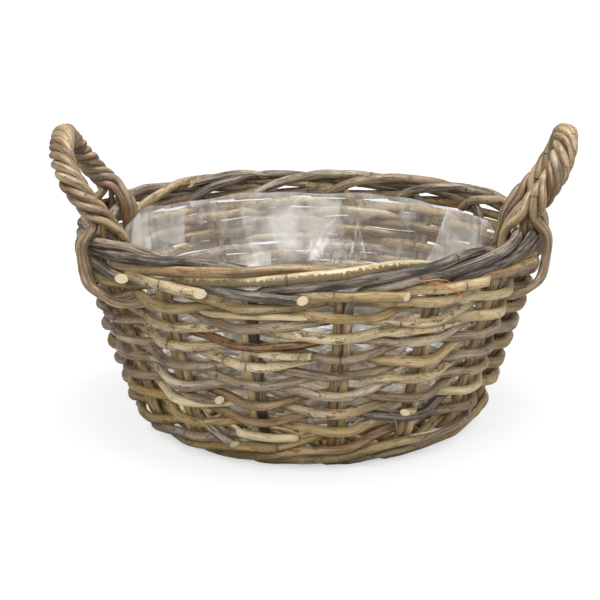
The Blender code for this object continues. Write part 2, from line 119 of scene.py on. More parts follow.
class NodeGraph:
    """Small helper that lays out the nodes of one procedural material."""

    def __init__(self, name: str) -> None:
        """Start an empty material.

        Args:
            name: Name of the material, in plain words.
        """
        self.material = bpy.data.materials.new(name.replace(" ", "_"))
        self.material.use_nodes = True
        self.tree = self.material.node_tree
        self.tree.nodes.clear()
        self.output = self.tree.nodes.new("ShaderNodeOutputMaterial")

    def node(self, kind: str, **settings: object) -> bpy.types.Node:
        """Add a node and set its properties.

        Args:
            kind: Blender's name of the node type.
            settings: Properties of the node, by name.

        Returns:
            The new node.
        """
        made = self.tree.nodes.new(kind)
        for key, value in settings.items():
            setattr(made, key, value)
        return made

    def feed(self, socket: bpy.types.NodeSocket, value: object) -> None:
        """Link a socket to the input, or write a plain value in it.

        Args:
            socket: The input.
            value: Output socket or plain value.
        """
        if isinstance(value, bpy.types.NodeSocket):
            self.tree.links.new(value, socket)
        else:
            socket.default_value = value

    def filled(self, node: bpy.types.Node, values: dict[object, object]) -> bpy.types.Node:
        """Feed the inputs of a node.

        Args:
            node: The node.
            values: Output sockets or plain values, by the name or number of the input.

        Returns:
            The same node.
        """
        for key, value in values.items():
            self.feed(node.inputs[key], value)
        return node

    def attribute(self, name: str, output: str = "Fac") -> bpy.types.NodeSocket:
        """Read a named attribute of the mesh."""
        return self.node("ShaderNodeAttribute", attribute_name=name).outputs[output]

    def scaled(self, vector: object, scale: tuple[float, float, float]) -> bpy.types.NodeSocket:
        """Stretch a vector by its own factor along each axis."""
        made = self.node("ShaderNodeVectorMath", operation="MULTIPLY")
        return self.filled(made, {0: vector, 1: scale}).outputs["Vector"]

    def noise(self, place: object, grain: Grain, output: str = "Fac") -> bpy.types.NodeSocket:
        """Noise at a place.

        Args:
            place: Position in metres.
            grain: Pattern of the noise.
            output: Name of the output that is wanted.

        Returns:
            The noise.
        """
        values = {"Vector": self.scaled(place, grain.waves), "Scale": 1.0, "Detail": grain.detail,
                  "Roughness": grain.rough}
        return self.filled(self.node("ShaderNodeTexNoise"), values).outputs[output]

    def cells(self, place: object, waves: tuple[float, float, float], output: str) -> bpy.types.NodeSocket:
        """Cell pattern at a place: the distance to the middle of the cell, or the colour of the cell."""
        values = {"Vector": self.scaled(place, waves), "Scale": 1.0}
        return self.filled(self.node("ShaderNodeTexVoronoi", feature="F1"), values).outputs[output]

    def ramp(
        self, value: object, low: float, high: float, start: float = 0.0, end: float = 1.0
    ) -> bpy.types.NodeSocket:
        """Map a value from one range smoothly to another and clamp it.

        Args:
            value: Socket that is mapped.
            low: Value that gives start.
            high: Value that gives end.
            start: Result at low.
            end: Result at high.

        Returns:
            The mapped value.
        """
        values = {"Value": value, "From Min": low, "From Max": high, "To Min": start, "To Max": end}
        made = self.node("ShaderNodeMapRange", interpolation_type="SMOOTHSTEP")
        return self.filled(made, values).outputs["Result"]

    def math(self, operation: str, *values: object) -> bpy.types.NodeSocket:
        """One step of arithmetic."""
        made = self.node("ShaderNodeMath", operation=operation)
        return self.filled(made, dict(enumerate(values))).outputs[0]

    def layered(self, base: object, layers: list[tuple[object, object]]) -> bpy.types.NodeSocket:
        """Lay colours over each other.

        Args:
            base: Lowest colour.
            layers: Share and colour of each layer, from the lowest up.

        Returns:
            The mixed colour.
        """
        for share, colour in layers:
            made = self.node("ShaderNodeMix", data_type="RGBA", blend_type="MIX")
            base = self.filled(made, {0: share, 6: base, 7: colour}).outputs[2]
        return base

    def bump(self, height: object, distance: float) -> bpy.types.NodeSocket:
        """Turn a height into a bumped normal."""
        values = {"Height": height, "Distance": distance, "Strength": 1.0}
        return self.filled(self.node("ShaderNodeBump"), values).outputs["Normal"]

    def finish_with(self, shader: bpy.types.Node) -> bpy.types.Material:
        """Send a shader to the surface and return the material."""
        self.feed(self.output.inputs["Surface"], shader.outputs[0])
        return self.material

    def surface(self, values: dict[object, object]) -> bpy.types.Material:
        """Finish the material with a principled surface that has these inputs."""
        return self.finish_with(self.filled(self.node("ShaderNodeBsdfPrincipled"), values))


@dataclass(frozen=True)
class RattanFinish:
    """Finish of one kind of rattan, grained along the rod."""

    tone: Tone
    base: tuple[float, float, float]
    dark: tuple[float, float, float]
    light: tuple[float, float, float]
    streaks: float = 0.5
    speckles: float = 0.15
    ridges: float = 0.00012
    gloss: float = 0.50
    peel: float = 0.0
    frost: float = 0.0
    peel_side: float = 240.0
    warmth: float = 1.14
    weathered: float = 0.32
    black_share: float = 0.42
    bump_share: float = 4.0
    ring: tuple[float, float] = (0.0003, 0.0010)
    halo: tuple[float, float] = (0.0012, 0.0060)
    fine: Grain = Grain((1050.0, 1050.0, 46.0), 5.0, 0.62)
    broad: Grain = Grain((430.0, 430.0, 24.0), 4.0, 0.6)
    patch: Grain = Grain((120.0, 120.0, 30.0), 3.0, 0.5)
    stain: Grain = Grain((300.0, 300.0, 120.0), 5.0, 0.68)
    speck: Grain = Grain((1150.0, 1150.0, 620.0), 2.0, 0.5)
    weather: Grain = Grain((60.0, 60.0, 14.0), 2.0, 0.5)
    peel_edge: Grain = Grain((60.0, 60.0, 430.0), 3.0, 0.5)

    def material(self) -> bpy.types.Material:
        """Lay out grain, patches, speckles and joint rings of this rattan.

        Returns:
            The material of this finish.
        """
        graph = NodeGraph(self.tone.value)
        place = graph.attribute("rod_place", "Vector")
        joint = graph.attribute("rod_joint")
        grains = (self.fine, self.broad, self.patch, self.stain, self.speck, self.weather)
        fine, broad, patches, stains, specks, weather = (graph.noise(place, grain) for grain in grains)
        base, dark, light = srgb(*self.base), srgb(*self.dark), srgb(*self.light)
        black = srgb(*[channel * self.black_share for channel in self.dark])
        spots = graph.ramp(specks, 0.58, 0.65, 0.0, min(self.speckles * 1.3, 1.0))
        layers = [
            (graph.ramp(patches, 0.38, 0.62), light),
            (graph.ramp(weather, 0.46, 0.64, 0.0, self.weathered), dark),
            (graph.ramp(fine, 0.49, 0.64, 0.0, self.streaks), dark),
            (graph.ramp(broad, 0.50, 0.66, 0.0, self.streaks), dark),
            (graph.ramp(stains, 0.54, 0.62, 0.0, 0.36 + 0.5 * self.speckles), dark),
            (graph.math("MULTIPLY", spots, graph.ramp(stains, 0.42, 0.56, 0.2, 1.0)), black),
        ]
        if self.frost:
            layers.append((graph.ramp(fine, 0.47, 0.38, 0.0, self.frost), light))
        height = graph.math("MULTIPLY_ADD", fine, 0.6, broad)
        if self.peel:
            around = graph.filled(graph.node("ShaderNodeSeparateXYZ"), {0: place}).outputs["Y"]
            side = graph.math("MULTIPLY_ADD", around, self.peel_side, graph.noise(place, self.peel_edge))
            bark = graph.ramp(side, 0.99, 1.06, 0.0, self.peel)
            layers.append((bark, dark))
            height = graph.math("ADD", height, bark)
        worn = graph.ramp(patches, 0.44, 0.62, 0.0, 0.75)
        ring = graph.math("MULTIPLY", graph.ramp(joint, *self.ring, 1.0, 0.0), worn)
        layers += [(ring, black), (graph.ramp(joint, *self.halo, 0.22, 0.0), dark)]
        height = graph.math("SUBTRACT", height, graph.math("MULTIPLY", ring, 0.8))
        warm = graph.filled(
            graph.node("ShaderNodeHueSaturation"),
            {"Saturation": self.warmth, "Color": graph.layered(base, layers)},
        )
        return graph.surface({
            "Base Color": warm.outputs[0],
            "Roughness": graph.ramp(stains, 0.35, 0.65, self.gloss - 0.16, self.gloss + 0.12),
            "Specular IOR Level": 0.55,
            "Normal": graph.bump(height, self.ridges * self.bump_share),
        })


@dataclass(frozen=True)
class CutFinish:
    """Pale sawn end of a rod, with dark pores in its pith and a darker skin round it."""

    pith: tuple[float, float, float] = (229, 212, 176)
    pore: tuple[float, float, float] = (128, 104, 70)
    skin: tuple[float, float, float] = (160, 138, 100)
    pores: tuple[float, float, float] = (1350.0, 1350.0, 0.0)
    some: Grain = Grain((700.0, 700.0, 0.0), 1.0)
    shade: Grain = Grain((900.0, 900.0, 0.0), 3.0)

    def material(self) -> bpy.types.Material:
        """Lay out the pores and the skin of the end.

        Returns:
            The material of a cut end.
        """
        graph = NodeGraph(Tone.CUT.value)
        place = graph.attribute("rod_place", "Vector")
        pores = graph.ramp(graph.cells(place, self.pores, "Distance"), 0.10, 0.26, 0.8, 0.0)
        some = graph.ramp(graph.noise(place, self.some), 0.50, 0.60)
        shade = graph.noise(place, self.shade)
        skin = srgb(*self.skin)
        colour = graph.layered(srgb(*self.pith), [
            (graph.ramp(shade, 0.3, 0.7, 0.0, 0.35), skin),
            (graph.math("MULTIPLY", pores, some), srgb(*self.pore)),
            (graph.ramp(graph.attribute("rod_rim"), 0.86, 0.97, 0.0, 0.8), skin),
        ])
        normal = graph.bump(graph.math("SUBTRACT", shade, pores), 0.0002)
        return graph.surface({"Base Color": colour, "Roughness": 0.75, "Normal": normal})


@dataclass(frozen=True)
class FilmFinish:
    """Thin clear film that has gone milky along its creases."""

    haze: tuple[float, float, float] = (176, 170, 162)
    milk: tuple[float, float, float] = (228, 225, 219)
    crease: tuple[float, float, float] = (250, 249, 246)
    # Reddish colour of the line along the folded corner and of the painted glint along the hem.
    fold_line_and_glint: tuple[float, float, float] = (176, 112, 92)
    # Painted shade: darker grey of the film's front half, which lies in the shade inside the front wall.
    shaded: tuple[float, float, float] = (120, 114, 105)
    clear_share: float = 0.26
    milky_share: float = 0.80
    crease_share: float = 0.92
    gloss: float = 0.16
    shaded_gloss: float = 0.65
    warp: float = 0.010
    facets: tuple[float, float, float] = (44.0, 44.0, 22.0)
    cloud: Grain = Grain((15.0, 15.0, 17.0))
    streak: Grain = Grain((60.0, 60.0, 20.0), 5.0, 0.6)
    across: Grain = Grain((24.0, 24.0, 90.0), 4.0, 0.6)
    wrinkle: Grain = Grain((60.0, 60.0, 34.0), 3.0, 0.5)
    bend: Grain = Grain((26.0, 26.0, 26.0), 2.0, 0.5)
    fade: Grain = Grain((48.0, 48.0, 40.0), 3.0, 0.5)

    def material(self) -> bpy.types.Material:
        """Lay out a see-through film with milky patches and white creases, a reddish fold line, a painted
        reddish glint along the hem and painted shade on its front.

        Returns:
            The material of the film.
        """
        graph = NodeGraph("clear crumpled film")
        place = graph.attribute("film_place", "Vector")
        keys = ("film_crease", "film_milk", "film_fold_line_and_glint", "film_shade")
        crease, painted, fold_line_and_glint, shade = (graph.attribute(key) for key in keys)
        warp = graph.node("ShaderNodeVectorMath", operation="MULTIPLY_ADD")
        warp = graph.filled(warp, {0: graph.noise(place, self.bend, "Color"), 1: (self.warp,) * 3, 2: place})
        facets = graph.ramp(graph.cells(warp.outputs["Vector"], self.facets, "Color"), 0.25, 0.80)
        faded = graph.ramp(graph.noise(place, self.fade), 0.34, 0.66, 0.02, 0.46)
        panes = graph.math("MULTIPLY", facets, faded)
        cloudy = graph.ramp(graph.noise(place, self.cloud), 0.46, 0.72, 0.0, 0.6)
        milky = graph.math("ADD", graph.math("MAXIMUM", cloudy, painted), panes)
        streaky = graph.math(
            "MAXIMUM",
            graph.ramp(graph.noise(place, self.streak), 0.46, 0.74, 0.0, 0.55),
            graph.ramp(graph.noise(place, self.across), 0.50, 0.74, 0.0, 0.5),
        )
        cover = graph.math("MULTIPLY_ADD", streaky, 0.5, milky)
        body = graph.ramp(cover, 0.0, 1.2, self.clear_share, self.milky_share)
        white = graph.ramp(crease, 0.30, 1.0)
        alpha = graph.math("MULTIPLY_ADD", white, self.crease_share - self.milky_share, body)
        colour = graph.layered(srgb(*self.haze), [
            (graph.ramp(cover, 0.0, 1.0), srgb(*self.milk)),
            (white, srgb(*self.crease)),
            # Reddish fold line, and a painted glint along the hem.
            (fold_line_and_glint, srgb(*self.fold_line_and_glint)),
            # Painted shade on the film's front half.
            (shade, srgb(*self.shaded)),
        ])
        return graph.surface({
            "Base Color": colour,
            "Alpha": graph.math("MINIMUM", alpha, self.crease_share),
            "Roughness": graph.ramp(shade, 0.0, 0.9, self.gloss, self.shaded_gloss),
            "Specular IOR Level": 0.8,
            "Normal": graph.bump(graph.noise(place, self.wrinkle), 0.0030),
        })


class FinishShelf:
    """All finishes of the basket, each made once."""

    def __init__(self) -> None:
        """Write down the colours of every kind of rattan: its base, its dark grain and its light patches."""
        tone = Tone
        rattans = (
            RattanFinish(tone.STRAW, (206, 188, 150), (140, 116, 82), (222, 208, 176),
                0.35, 0.25, 0.00008, 0.40),
            RattanFinish(tone.STRAW_SPECKLED, (200, 182, 146), (104, 84, 60), (220, 204, 172),
                0.45, 0.9, 0.0001, 0.44),
            RattanFinish(tone.TAN, (180, 157, 119), (98, 78, 54), (202, 182, 146), 0.55, 0.4),
            RattanFinish(tone.TAN_SPECKLED, (184, 162, 128), (80, 64, 48), (208, 189, 157), 0.65, 1.0),
            RattanFinish(tone.OLIVE, (156, 136, 99), (84, 69, 47), (184, 164, 126), 0.6, 0.5, 0.0001, 0.42),
            RattanFinish(tone.HONEY, (164, 139, 97), (90, 72, 47), (188, 165, 122), 0.55, 0.5, 0.0001, 0.40),
            RattanFinish(tone.MAUVE, (152, 134, 112), (82, 69, 57), (184, 167, 144), 0.7, 0.6),
            RattanFinish(tone.MAUVE_PALE, (184, 167, 143), (96, 82, 67), (210, 194, 170), 0.6, 0.9),
            RattanFinish(tone.BROWN, (141, 117, 87), (76, 59, 42), (170, 146, 113), 0.6, 0.5, 0.0001, 0.42),
            RattanFinish(tone.BROWN_GREY, (138, 120, 97), (72, 60, 48), (168, 150, 127), 0.7, 0.6),
            RattanFinish(tone.RUSSET, (122, 84, 54), (58, 40, 30), (168, 138, 100),
                0.9, 0.7, 0.00016, 0.50, frost=0.5),
            RattanFinish(tone.BARK, (76, 66, 56), (31, 27, 23), (150, 138, 122),
                0.95, 0.5, 0.0003, 0.55, frost=0.65),
            RattanFinish(tone.BARK_PALE, (128, 114, 98), (62, 52, 44), (174, 160, 142),
                0.9, 0.6, 0.0003, 0.52, frost=0.5),
            RattanFinish(tone.PEELING, (182, 168, 130), (100, 84, 62), (198, 186, 150),
                0.3, 0.3, 0.0001, 0.40, peel=0.85),
            RattanFinish(tone.HANDLE, (136, 116, 91), (76, 61, 46), (166, 146, 118), 0.7, 0.5, 0.0001, 0.40),
            RattanFinish(tone.HANDLE_PALE, (156, 136, 107), (88, 71, 53), (186, 167, 137),
                0.6, 0.5, 0.0001, 0.38),
            RattanFinish(tone.HANDLE_WORN, (124, 94, 70), (68, 48, 36), (172, 144, 116),
                0.8, 0.5, 0.00016, 0.42, frost=0.4),
            RattanFinish(tone.FIBRE, (190, 128, 80), (130, 80, 46), (214, 160, 112), 0.3, 0.0, 0.00005),
        )
        self.materials = {finish.tone: finish.material() for finish in rattans}
        self.materials[Tone.CUT] = CutFinish().material()

    def of(self, tone: Tone) -> bpy.types.Material:
        """Material of a tone."""
        return self.materials[tone]


@dataclass(frozen=True)
class Basket:
    """Sizes that the pieces of the basket share, as its solids have them."""

    pairs: int = 16
    foot_radius: float = 0.1145
    rim_radius: float = 0.1500
    rim_height: float = 0.1200
    gap: float = 0.0003
    stake: float = 0.0058
    weaver: float = 0.0059
    rows: int = 14
    first_row: float = 0.0325
    row_pitch: float = 0.0067
    hug_margin: float = 0.0012
    bend_allowance: float = 0.0003
    base_height: float = 0.0125
    bow: float = 0.0042
    crest_height: float = 0.1424
    border_half: float = 0.0070
    slath_radius: float = 0.0260
    fan_radius: float = 0.0500
    bow_pairs: tuple[int, ...] = (15, 0, 7, 9)

    @property
    def pair_angle_step(self) -> float:
        """Angle between two stake pairs."""
        return math.tau / self.pairs

    @property
    def pair_half(self) -> float:
        """Half the distance between the two stakes of a pair."""
        return self.stake / 2 + self.gap / 2

    @property
    def lean(self) -> float:
        """Angle by which the wall leans out."""
        return math.atan2(self.rim_radius - self.foot_radius, self.rim_height)

    @property
    def bow_lateral(self) -> float:
        """Distance of a handle bow beside the middle of its pair."""
        return self.pair_half + self.stake / 2 + self.bow / 2 + self.gap

    @property
    def row_swing(self) -> float:
        """How far a row stands off the middle of the wall."""
        return self.stake / 2 + self.weaver / 2 + self.gap

    @property
    def double_pitch(self) -> float:
        """Distance between two doubles of stake rods in the middle of the base."""
        return 2 * (self.stake + self.gap) + self.gap

    @property
    def border_low(self) -> float:
        """Height of the lowest rods of the border."""
        last_row = self.first_row + self.row_pitch * (self.rows - 1)
        return last_row + self.weaver / 2 + self.stake / 2 + self.gap

    def wall_radius(self, height: float) -> float:
        """Radius of the middle of the wall at a height."""
        return self.foot_radius + (self.rim_radius - self.foot_radius) * height / self.rim_height

    def pair_angle(self, place: float) -> float:
        """Angle round Z of a place that is counted in pairs."""
        return place * self.pair_angle_step + math.atan2(self.bow_lateral, self.rim_radius)

    def fan_bend(self, place: float) -> float:
        """Angle by which a double turns outward where the crossed rods of the base fan out.

        Args:
            place: Number of doubles between it and the middle of its layer.

        Returns:
            The angle.
        """
        fan = place * self.pair_angle_step
        aside = self.fan_radius * math.sin(fan) - place * self.double_pitch
        return math.atan2(aside, self.fan_radius * math.cos(fan) - self.slath_radius)

    def polar(self, angle: float, radius: float, height: float, lateral: float = 0.0) -> np.ndarray:
        """Point at an angle, moved sideways at right angles to the radius.

        Args:
            angle: Angle round Z.
            radius: Distance from the axis.
            height: Height over the ground.
            lateral: Distance sideways.

        Returns:
            The point.
        """
        cos, sin = math.cos(angle), math.sin(angle)
        return np.array((radius * cos - lateral * sin, radius * sin + lateral * cos, height))

    def wall_point(self, angle: float, height: float, offset: float, lateral: float = 0.0) -> np.ndarray:
        """Point of the wall, moved out along the normal of the wall by an offset."""
        radius = self.wall_radius(height) + offset * math.cos(self.lean)
        return self.polar(angle, radius, height - offset * math.sin(self.lean), lateral)

    def inside_swing(self, height: float) -> float:
        """How far a row stands in behind a pair.

        Args:
            height: Height of the row over the ground.

        Returns:
            Distance from the middle of the wall.
        """
        pitch = self.wall_radius(height) * self.pair_angle_step
        crossing = pitch - self.bow_lateral - self.bow / 2 - self.hug_margin
        slope = (2 * self.row_swing + 2 * self.hug_margin) / crossing
        return self.row_swing * math.hypot(1.0, slope) + slope * self.pair_half

    def is_bow_pair(self, pair: int) -> bool:
        """Say if a handle bow stands beside this pair."""
        return pair % self.pairs in self.bow_pairs


def smooth_noise(rng: np.random.Generator, along: np.ndarray, length: float) -> np.ndarray:
    """Slow wander between about -1 and 1 along a rod.

    Args:
        rng: Seeded source of chance.
        along: Distances along the rod.
        length: Length of the longest wave.

    Returns:
        One value for each distance.
    """
    total = np.zeros_like(along)
    for octave in range(3):
        wave = length / (1.0 + 0.83 * octave)
        total += np.sin(math.tau * along / wave + rng.uniform(0.0, math.tau)) / (octave + 1)
    return total / 1.5


def arc_lengths(points: np.ndarray) -> np.ndarray:
    """Distance of each point of a route from its start."""
    steps = np.linalg.norm(np.diff(points, axis=0), axis=1)
    return np.concatenate(((0.0,), np.cumsum(steps)))


def points_at(points: np.ndarray, places: np.ndarray) -> np.ndarray:
    """Points of a route at some distances from its start."""
    lengths = arc_lengths(points)
    return np.stack([np.interp(places, lengths, points[:, axis]) for axis in range(3)], axis=1)


def smoothed(corners: np.ndarray, bend: float, step: float = 0.001) -> np.ndarray:
    """Round the corners of a route the way a springy rod does.

    Args:
        corners: Corner points of the route.
        bend: Length over which a corner is rounded.
        step: Distance between the points of the result.

    Returns:
        Evenly spaced points, with the ends where they were.
    """
    total = arc_lengths(corners)[-1]
    count = max(int(round(total / step)), 4)
    fine = points_at(corners, np.linspace(0.0, total, count + 1))
    reach = min(max(int(3.0 * bend / step), 1), count)
    kernel = np.exp(-0.5 * (np.arange(-reach, reach + 1) * step / bend) ** 2)
    kernel /= kernel.sum()
    head = 2 * fine[0] - fine[1:reach + 1][::-1]
    tail = 2 * fine[-1] - fine[-reach - 1:-1][::-1]
    padded = np.concatenate((head, fine, tail))
    return np.stack([np.convolve(padded[:, axis], kernel, "valid") for axis in range(3)], axis=1)


@dataclass
class Rod:
    """One stretch of rattan: its line, thickness, kind and ends.

    Where it changes its kind or grows thicker, the first number is the share of its length at which it
    does. A slant is the rise of a cut across the thickness, and its sign says which way the cut faces.
    """

    line: np.ndarray
    radius: float
    tone: Tone
    seed: int
    head: EndShape = EndShape.TUCKED
    tail: EndShape = EndShape.TUCKED
    wander: float = 0.0004
    joint_every: float = 0.150
    slim: float = 0.06
    change: tuple[float, Tone] | None = None
    slant: float = 0.35
    thicken: tuple[float, float] | None = None


@dataclass
class RodShell:
    """Surface of one rod, ready to be joined with others in a mesh."""

    verts: np.ndarray
    faces: list[tuple[int, ...]]
    kinds: list[int]
    place: np.ndarray
    joint: np.ndarray
    rim: np.ndarray


@dataclass(frozen=True)
class RodGrower:
    """Grows the surface of a rod along its line.

    Each kind of end has its taper: its length, and the share of the thickness that is left at the end.
    """

    sides: int = 12
    ring_step: float = 0.0023
    swell: float = 0.06
    lip: float = 0.0011
    tapers: ClassVar[dict[EndShape, tuple[float, float]]] = {
        EndShape.TIP: (0.020, 0.22), EndShape.TUCKED: (0.002, 0.80), EndShape.CUT: (0.0008, 0.95),
    }
    kink_reach: float = 0.022
    wander_wave: float = 0.070
    uneven: float = 0.04
    uneven_wave: float = 0.11
    thicken_over: float = 0.08
    oval: float = 0.045
    lobes: float = 0.020
    twist: float = 9.0
    pith_share: float = 0.86
    far: float = 1.0

    def stations(self, rod: Rod, total: float, rng: np.random.Generator) -> tuple[np.ndarray, np.ndarray]:
        """Places of the rings and of the joints along a rod.

        Args:
            rod: The rod.
            total: Its length.
            rng: Seeded source of chance.

        Returns:
            Distances of the rings and of the joints from the start.
        """
        joints = []
        mark = rng.uniform(0.1, 1.0) * rod.joint_every
        while mark < total - 2 * self.lip:
            joints.append(mark)
            mark += rod.joint_every * rng.uniform(0.6, 1.5)
        count = max(int(round(total / self.ring_step)), 3)
        rings = list(np.linspace(0.0, total, count + 1))
        for joint in joints:
            rings += [joint + offset * self.lip for offset in range(-2, 3)]
        rings = np.array(sorted(ring for ring in rings if 0.0 <= ring <= total))
        keep = np.concatenate(((True,), np.diff(rings) > self.lip / 3))
        keep[-1] = True
        return rings[keep], np.array(joints)

    def grow(self, rod: Rod) -> RodShell:
        """Build the surface of a rod.

        Args:
            rod: The rod.

        Returns:
            Its shell, with grain coordinates and joints.
        """
        rng = np.random.default_rng(rod.seed)
        total = arc_lengths(rod.line)[-1]
        rings, joints = self.stations(rod, total, rng)
        centre = points_at(rod.line, rings)
        centre = centre + self.wandering(rod, rings, joints, rng)
        along = np.gradient(centre, rings, axis=0)
        along /= np.linalg.norm(along, axis=1, keepdims=True)
        first, second = self.frames(along)
        radius = self.radii(rod, rings, joints, rng)
        turn = np.linspace(0.0, math.tau, self.sides, endpoint=False)
        flat_turn = rng.uniform(0.0, math.tau) + rings * rng.uniform(-self.twist, self.twist)
        oval = 1.0 + self.oval * np.cos(2.0 * (turn[None, :] - flat_turn[:, None]))
        oval += self.lobes * np.cos(3.0 * turn[None, :] + 2.0 * flat_turn[:, None])
        reach = radius[:, None] * oval
        aside, ahead = reach * np.cos(turn), reach * np.sin(turn)
        verts = centre[:, None, :] + aside[..., None] * first[:, None, :]
        verts += ahead[..., None] * second[:, None, :]
        grain_start = rng.uniform(0.0, 40.0)
        flat = np.stack((aside, ahead, np.broadcast_to(rings[:, None] + grain_start, reach.shape)), axis=2)
        nearest = np.full(len(rings), self.far)
        if len(joints):
            nearest = np.abs(rings[:, None] - joints[None, :]).min(axis=1)
        self.cut_across(rod, rings, verts, flat, along)
        return self.stitched(rod, rings, verts, flat, nearest)

    def wandering(
        self, rod: Rod, rings: np.ndarray, joints: np.ndarray, rng: np.random.Generator
    ) -> np.ndarray:
        """Small offsets of the middle line: slow wander and a kink at each joint.

        Args:
            rod: The rod.
            rings: Distances of the rings from the start.
            joints: Distances of the joints from the start.
            rng: Seeded source of chance.

        Returns:
            One offset for each ring.
        """
        shift = np.stack([smooth_noise(rng, rings, self.wander_wave) for _ in range(3)], axis=1) * rod.wander
        for joint in joints:
            direction = rng.normal(size=3)
            direction /= np.linalg.norm(direction)
            bend = np.clip(1.0 - np.abs(rings - joint) / self.kink_reach, 0.0, 1.0)
            shift += bend[:, None] * direction[None, :] * rod.wander
        return shift

    def radii(self, rod: Rod, rings: np.ndarray, joints: np.ndarray, rng: np.random.Generator) -> np.ndarray:
        """Radius at each ring: slow change, swollen joints and shaped ends.

        Args:
            rod: The rod.
            rings: Distances of the rings from the start.
            joints: Distances of the joints from the start.
            rng: Seeded source of chance.

        Returns:
            One radius for each ring.
        """
        total = rings[-1]
        radius = rod.radius * (1.0 + self.uneven * smooth_noise(rng, rings, self.uneven_wave))
        radius *= np.interp(rings, (0.0, total), (1.0 + rod.slim, 1.0 - rod.slim))
        if rod.thicken:
            share, factor = rod.thicken
            radius *= np.interp(rings / total, (share, share + self.thicken_over), (1.0, factor))
        for joint in joints:
            ring = np.exp(-((rings - joint) / (1.4 * self.lip)) ** 2)
            radius *= 1.0 + self.swell * ring
        for shape, distance in ((rod.head, rings), (rod.tail, total - rings)):
            length, share = self.tapers[shape]
            radius *= np.interp(distance, (0.0, length), (share, 1.0))
        return radius

    def frames(self, along: np.ndarray) -> tuple[np.ndarray, np.ndarray]:
        """Two cross directions at each ring that don't twist along the rod.

        Args:
            along: Direction of the rod at each ring.

        Returns:
            The first and the second cross direction.
        """
        start = np.cross(along[0], UP)
        if np.linalg.norm(start) < 0.2:
            start = np.cross(along[0], np.array((1.0, 0.0, 0.0)))
        first = np.zeros_like(along)
        current = start / np.linalg.norm(start)
        for index, direction in enumerate(along):
            current = current - direction * current.dot(direction)
            current = current / np.linalg.norm(current)
            first[index] = current
        return first, np.cross(along, first)

    def cut_across(
        self, rod: Rod, rings: np.ndarray, verts: np.ndarray, flat: np.ndarray, along: np.ndarray
    ) -> None:
        """Slant the sawn ends, and the rings before them less and less.

        Args:
            rod: The rod.
            rings: Distances of the rings from the start.
            verts: Points of each ring, which this moves.
            flat: Grain coordinates of the points.
            along: Direction of the rod at each ring.
        """
        rise = rod.radius * abs(rod.slant)
        for end, shape, sign in ((0, rod.head, 1.0), (len(rings) - 1, rod.tail, -1.0)):
            if shape is EndShape.CUT:
                shift = flat[end, :, 0] * rod.slant + sign * rise
                weight = np.clip(1.0 - np.abs(rings - rings[end]) / (2.2 * rise + 0.002), 0.0, 1.0)
                verts += (weight[:, None] * shift[None, :])[..., None] * along[:, None, :]

    def stitched(
        self, rod: Rod, rings: np.ndarray, verts: np.ndarray, flat: np.ndarray, nearest: np.ndarray
    ) -> RodShell:
        """Join the rings with faces and close both ends.

        Args:
            rod: The rod.
            rings: Distances of the rings from the start.
            verts: Points of each ring.
            flat: Grain coordinates of the points.
            nearest: Distance of each ring to the nearest joint.

        Returns:
            The closed shell.
        """
        count, around = verts.shape[:2]
        faces: list[tuple[int, ...]] = []
        kinds: list[int] = []
        change = rod.change[0] * rings[-1] if rod.change else rings[-1] + self.far
        for ring in range(count - 1):
            low, high = ring * around, (ring + 1) * around
            kind = int(rings[ring] >= change)
            for side in range(around):
                after = (side + 1) % around
                faces.append((low + side, low + after, high + after, high + side))
                kinds.append(kind)
        points = verts.reshape(-1, 3)
        place = flat.reshape(-1, 3)
        joint = np.repeat(nearest, around)
        rim = np.zeros(len(points))
        for end, shape in ((0, rod.head), (count - 1, rod.tail)):
            loop = list(range(end * around, (end + 1) * around))
            kind = 2 if shape is EndShape.CUT else (0 if end == 0 or not rod.change else 1)
            middle = points[loop].mean(axis=0)
            inner = middle + self.pith_share * (points[loop] - middle)
            base = len(points)
            points = np.concatenate((points, inner, middle[None, :]))
            centre_place = place[loop].mean(axis=0)
            inner_place = centre_place + self.pith_share * (place[loop] - centre_place)
            place = np.concatenate((place, inner_place, centre_place[None, :]))
            joint = np.concatenate((joint, np.full(around + 1, self.far)))
            rim[loop] = float(shape is EndShape.CUT)
            rim = np.concatenate((rim, np.full(around, self.pith_share), (0.0,)))
            for side in range(around):
                after = (side + 1) % around
                band = (loop[after], loop[side], base + side, base + after)
                fan = (base + after, base + side, base + around)
                faces += [band, fan] if end == 0 else [band[::-1], fan[::-1]]
                kinds += [kind, kind]
        return RodShell(points, faces, kinds, place, joint, rim)


def write_layer(mesh: bpy.types.Mesh, name: str, values: np.ndarray) -> None:
    """Write a value or a vector at each point of a mesh.

    Args:
        mesh: The mesh.
        name: Name of the attribute.
        values: One number or three for each point.
    """
    kind, key = ("FLOAT_VECTOR", "vector") if values.ndim == 2 else ("FLOAT", "value")
    mesh.attributes.new(name, kind, "POINT").data.foreach_set(key, values.ravel())


def placed(name: str, data: bpy.types.ID) -> bpy.types.Object:
    """Put a mesh, lamp or camera in the scene.

    Args:
        name: Name of the object.
        data: What it shows.

    Returns:
        The new object.
    """
    made = bpy.data.objects.new(name, data)
    bpy.context.scene.collection.objects.link(made)
    return made


